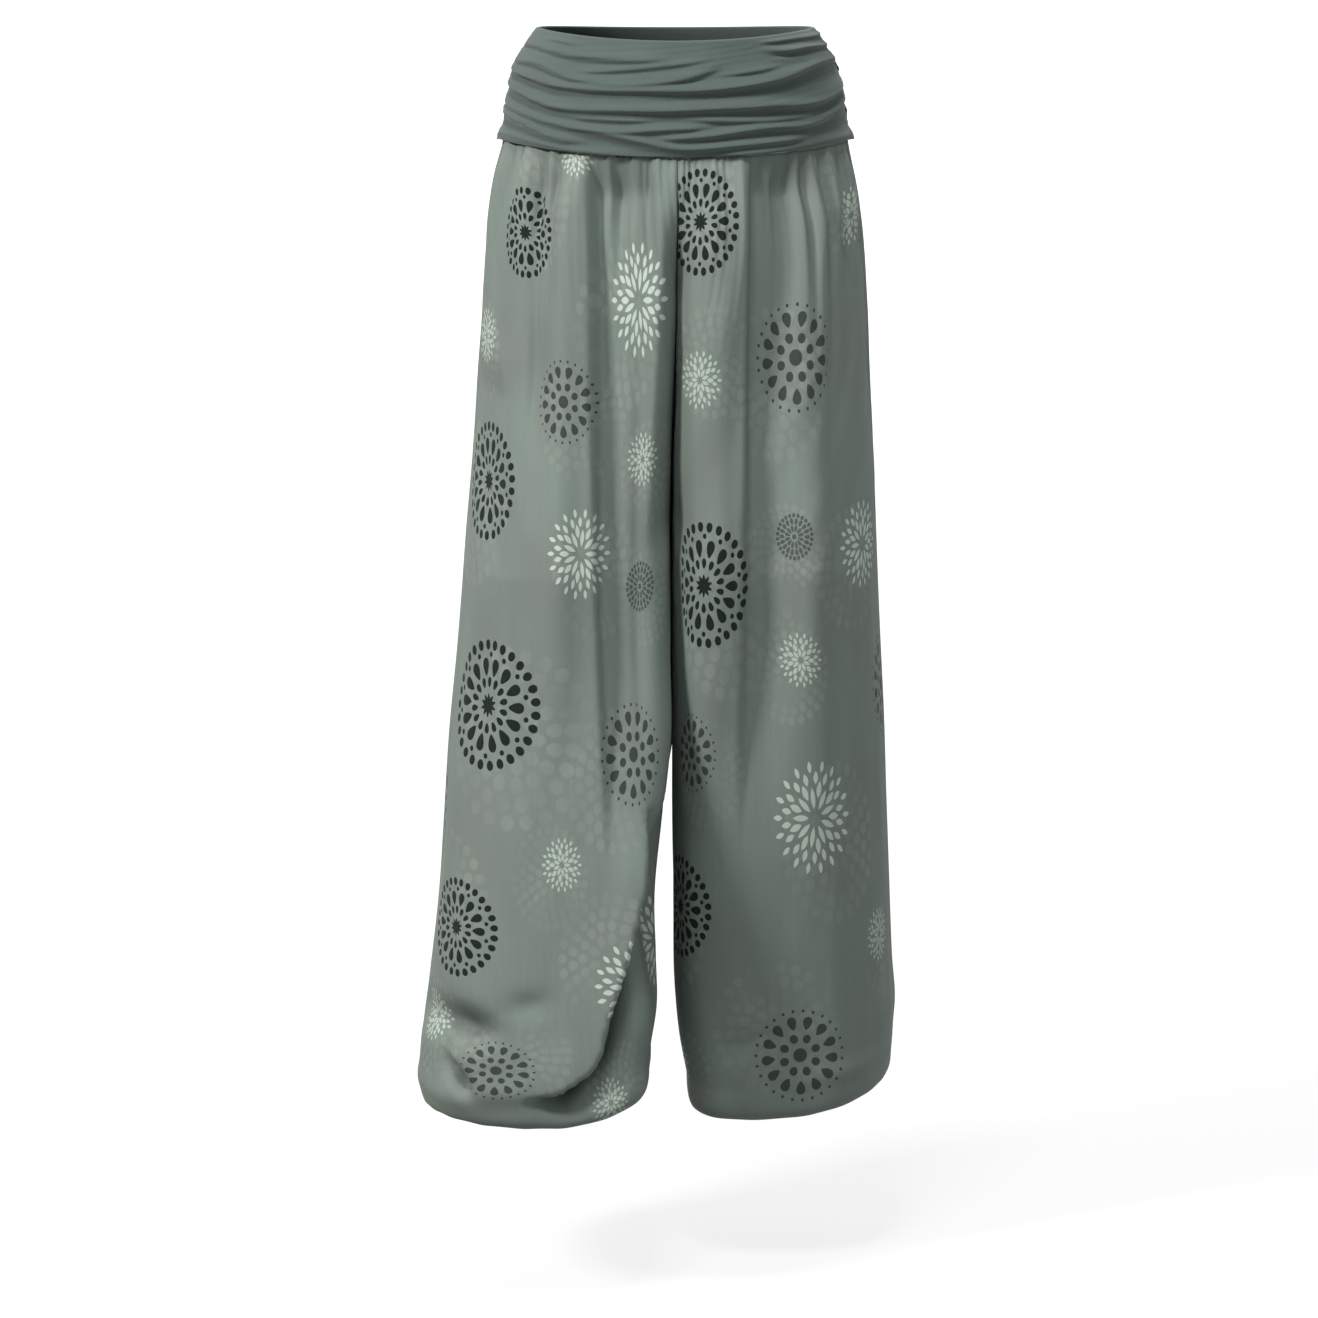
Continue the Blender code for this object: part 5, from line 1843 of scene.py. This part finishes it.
@dataclass
class AnkleCasing:
    """The hem round one ankle, doubled over its elastic and ruffled by it.

    Attributes:
        side: which leg it closes.
        above: how far its top stands above the cloth that meets it.
        height: its height.
        wall: its thickness.
        ruffles: small waves all round.
        ruffle: their depth.
        belly: how far it stands out half way down.
        flat: share of the ruffles' depth that is left at its edges.
        uneven: how unevenly the ruffles are spaced.
        rim: how much thicker it is at its edges, as a share of the wall.
        rows: rows of points down it.
    """

    side: Side
    above: float = 0.0050
    height: float = 0.0200
    wall: float = 0.0020
    ruffles: int = 54
    ruffle: float = 0.0007
    belly: float = 0.0006
    flat: float = 0.35
    uneven: float = 1.2
    rim: float = 0.4
    rows: int = 22

    def build(self, material: bpy.types.Material) -> None:
        """Makes the ring: the leg's own gathered ring, sunk by r (1 + cos(n t)) / 2 in the ruffles.

        Args:
            material: the printed cloth.
        """
        front, back = (LegPanel(self.side, face) for face in Face)
        ring = np.concatenate([front.ring(front.ankle_radius), back.ring(back.ankle_radius)[-2:0:-1]])
        ankle = ANKLES[self.side]
        outwards = ring - np.array([ankle.x, ankle.y])
        outwards /= np.linalg.norm(outwards, axis=1, keepdims=True)
        angle = np.arctan2(outwards[:, 1], outwards[:, 0])
        down = np.linspace(0, 1, self.rows)[:, None]
        swell = np.sin(math.pi * down)
        wave = 0.5 + 0.5 * np.cos(self.ruffles * angle + self.uneven * np.sin(5 * angle))
        ruffled = self.ruffle * wave * (self.flat + (1 - self.flat) * swell)
        sunk = ruffled - self.belly * swell * (down > 0.4)
        z = ankle.lowest + BAG_PROFILE[-1].height + self.above - self.height * down
        level = np.broadcast_to(z, sunk.shape)[..., None]
        walls = []
        for inset in (0.0, self.wall):
            around = ring - outwards * (sunk + inset - self.rim * inset * (swell - 1))[..., None]
            walls.append(np.concatenate([around, level], axis=-1))
        steps = np.linalg.norm(np.diff(ring, axis=0, prepend=ring[:1]), axis=1)
        across = np.broadcast_to(np.cumsum(steps), sunk.shape)
        cloth = np.stack([across, np.broadcast_to(self.height * down, sunk.shape)], axis=-1)
        plain = {name: lambda corners: np.zeros((*corners.shape[:2], 3)) for name in ("motif", "ghost")}
        name = f"ankle_casing_{self.side.name.lower()}"
        piece = Shell(name + "_cloth", *walls, cloth, ring=True, marks=plain).build(material)
        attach(piece, "root")
        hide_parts(name)
        LOG.info("%s: %d faces", piece.name, len(piece.data.polygons))


# ---- Stage ------------------------------------------------------------------------------------------
@dataclass(frozen=True)
class SoftLight:
    """A square area light: where it stands, how large it is, its power in watts and its colour."""

    name: str
    place: tuple
    size: float
    power: float
    colour: tuple


@dataclass
class Stage:
    """A plain pale floor, a pale surround, soft studio lights and the camera.

    Attributes:
        floor_z: height of the floor.
        floor_reach: half side of the floor.
        floor_glow: light that the pale floor sends up by itself, as a lit studio floor does.
        far_glow: the same far behind the pants.
        far_from: y from which the glow rises to that.
        far_rise: share of the rise in each metre.
        floor_tones: the floor's two tones.
        wall_tones: the wall's two tones.
        aim: what the lights face.
        camera: the camera's place.
        pitch: how far it looks down, in degrees.
        lens: its focal length in millimetres, on a sensor 36 mm wide.
        surround: brightness of the surround.
        wall_y: y of the white wall far behind.
        wall_glow: the wall's brightness.
        lights: the studio lights.
    """

    floor_z: float = -1.07
    floor_reach: float = 40.0
    floor_glow: float = 0.78
    far_glow: float = 0.95
    far_from: float = 0.3
    far_rise: float = 0.4
    floor_tones: tuple = ((0.20, 0.202, 0.205, 1.0), (0.22, 0.22, 0.22, 1.0))
    wall_tones: tuple = ((0.86, 0.86, 0.86, 1.0), (0.90, 0.90, 0.90, 1.0))
    aim: tuple = (0.0, 0.0, -0.45)
    camera: tuple = (-0.0144, -4.44085, 0.20322)
    pitch: float = 9.3
    lens: float = 136.57
    surround: float = 0.17
    wall_y: float = 7.0
    wall_glow: float = 1.05
    lights: tuple = (
        SoftLight("key_light", (-2.80, -2.1, 2.3), 0.8, 176.0, (1.0, 0.985, 0.96)),
        SoftLight("fill_light", (1.7, -3.1, -1.0), 1.6, 56.0, (0.97, 1.0, 0.99)),
        SoftLight("top_light", (-0.3, -1.6, 3.0), 0.8, 80.0, (0.97, 1.0, 0.99)),
    )

    def build(self) -> None:
        """Makes the floor, the surround, the lights and the camera."""
        self.build_floor()
        self.build_wall()
        world = bpy.data.worlds.new("surround")
        world.use_nodes = True
        tone = (self.surround, self.surround, self.surround, 1.0)
        world.node_tree.nodes["Background"].inputs["Color"].default_value = tone
        scene = bpy.context.scene
        scene.world = world
        scene.view_settings.view_transform = "Standard"
        for light in self.lights:
            self.build_light(light)
        data = bpy.data.cameras.new("camera")
        data.sensor_width = 36.0
        data.lens = self.lens
        view = bpy.data.objects.new("camera", data)
        view.location = self.camera
        view.rotation_euler = (math.radians(90 - self.pitch), 0.0, 0.0)
        scene.collection.objects.link(view)
        scene.camera = view
        LOG.info("stage: floor, %d lights and camera", len(self.lights))

    def build_floor(self) -> None:
        """Makes the floor, a square with a matt pale finish of faint clouds, which sends no light up."""
        reach, z = self.floor_reach, self.floor_z
        sheet = NodeSheet("pale_floor")
        y = sheet.numbers(sheet.node("ShaderNodeTexCoord").outputs["Object"])[1]
        behind = ((y - self.far_from) * self.far_rise).within()
        near, far = ((glow, glow, glow, 1.0) for glow in (self.floor_glow, self.far_glow))
        pale = sheet.finished(
            {
                "Base Color": sheet.clouds(1.4, self.floor_tones),
                "Roughness": 0.85,
                "Specular IOR Level": 0.15,
                "Emission Color": sheet.mix(behind, near, far),
                "Emission Strength": 1.0,
            }
        )
        corners = [(-reach, -reach, z), (reach, -reach, z), (reach, reach, z), (-reach, reach, z)]
        floor = self.flat_piece("floor", corners, pale)
        floor.visible_diffuse = False

    def build_wall(self) -> None:
        """Makes the white wall, which stands far behind and is lit by itself."""
        reach, y, low, high = self.floor_reach, self.wall_y, self.floor_z, self.floor_reach / 4
        sheet = NodeSheet("white_wall")
        white = sheet.finished(
            {
                "Base Color": sheet.clouds(0.4, self.wall_tones),
                "Roughness": 0.90,
                "Emission Color": (1.0, 1.0, 1.0, 1.0),
                "Emission Strength": self.wall_glow,
            }
        )
        corners = [(-reach, y, low), (reach, y, low), (reach, y, high), (-reach, y, high)]
        wall = self.flat_piece("wall", corners, white)

    @staticmethod
    def flat_piece(name: str, corners: list, material: bpy.types.Material) -> bpy.types.Object:
        """Makes one flat four-cornered piece of the stage.

        Args:
            name: its name.
            corners: its corners in order.
            material: its finish.

        Returns:
            The new object, linked to the scene.
        """
        mesh = bpy.data.meshes.new(name)
        mesh.from_pydata(corners, [], [(0, 1, 2, 3)])
        mesh.materials.append(material)
        piece = bpy.data.objects.new(name, mesh)
        bpy.context.scene.collection.objects.link(piece)
        return piece

    def build_light(self, light: SoftLight) -> None:
        """Makes one area light that faces the pants.

        Args:
            light: its place, size, power and colour.
        """
        data = bpy.data.lights.new(light.name, "AREA")
        data.shape = "SQUARE"
        data.size = light.size
        data.energy = light.power
        data.color = light.colour
        lamp = bpy.data.objects.new(light.name, data)
        lamp.location = light.place
        facing = Vector(self.aim) - Vector(light.place)
        lamp.rotation_euler = facing.to_track_quat("-Z", "Y").to_euler()
        bpy.context.scene.collection.objects.link(lamp)


# ---- Everything -------------------------------------------------------------------------------------
def main() -> None:
    """Builds the stage and every piece."""
    logging.basicConfig(level=logging.INFO)
    Stage().build()
    Waistband(RibJersey()).build()
    printed = PrintedViscose().material()
    for side in Side:
        for face in Face:
            LegPanel(side, face).build(printed)
        AnkleCasing(side).build(printed)


if __name__ == "__main__":
    main()
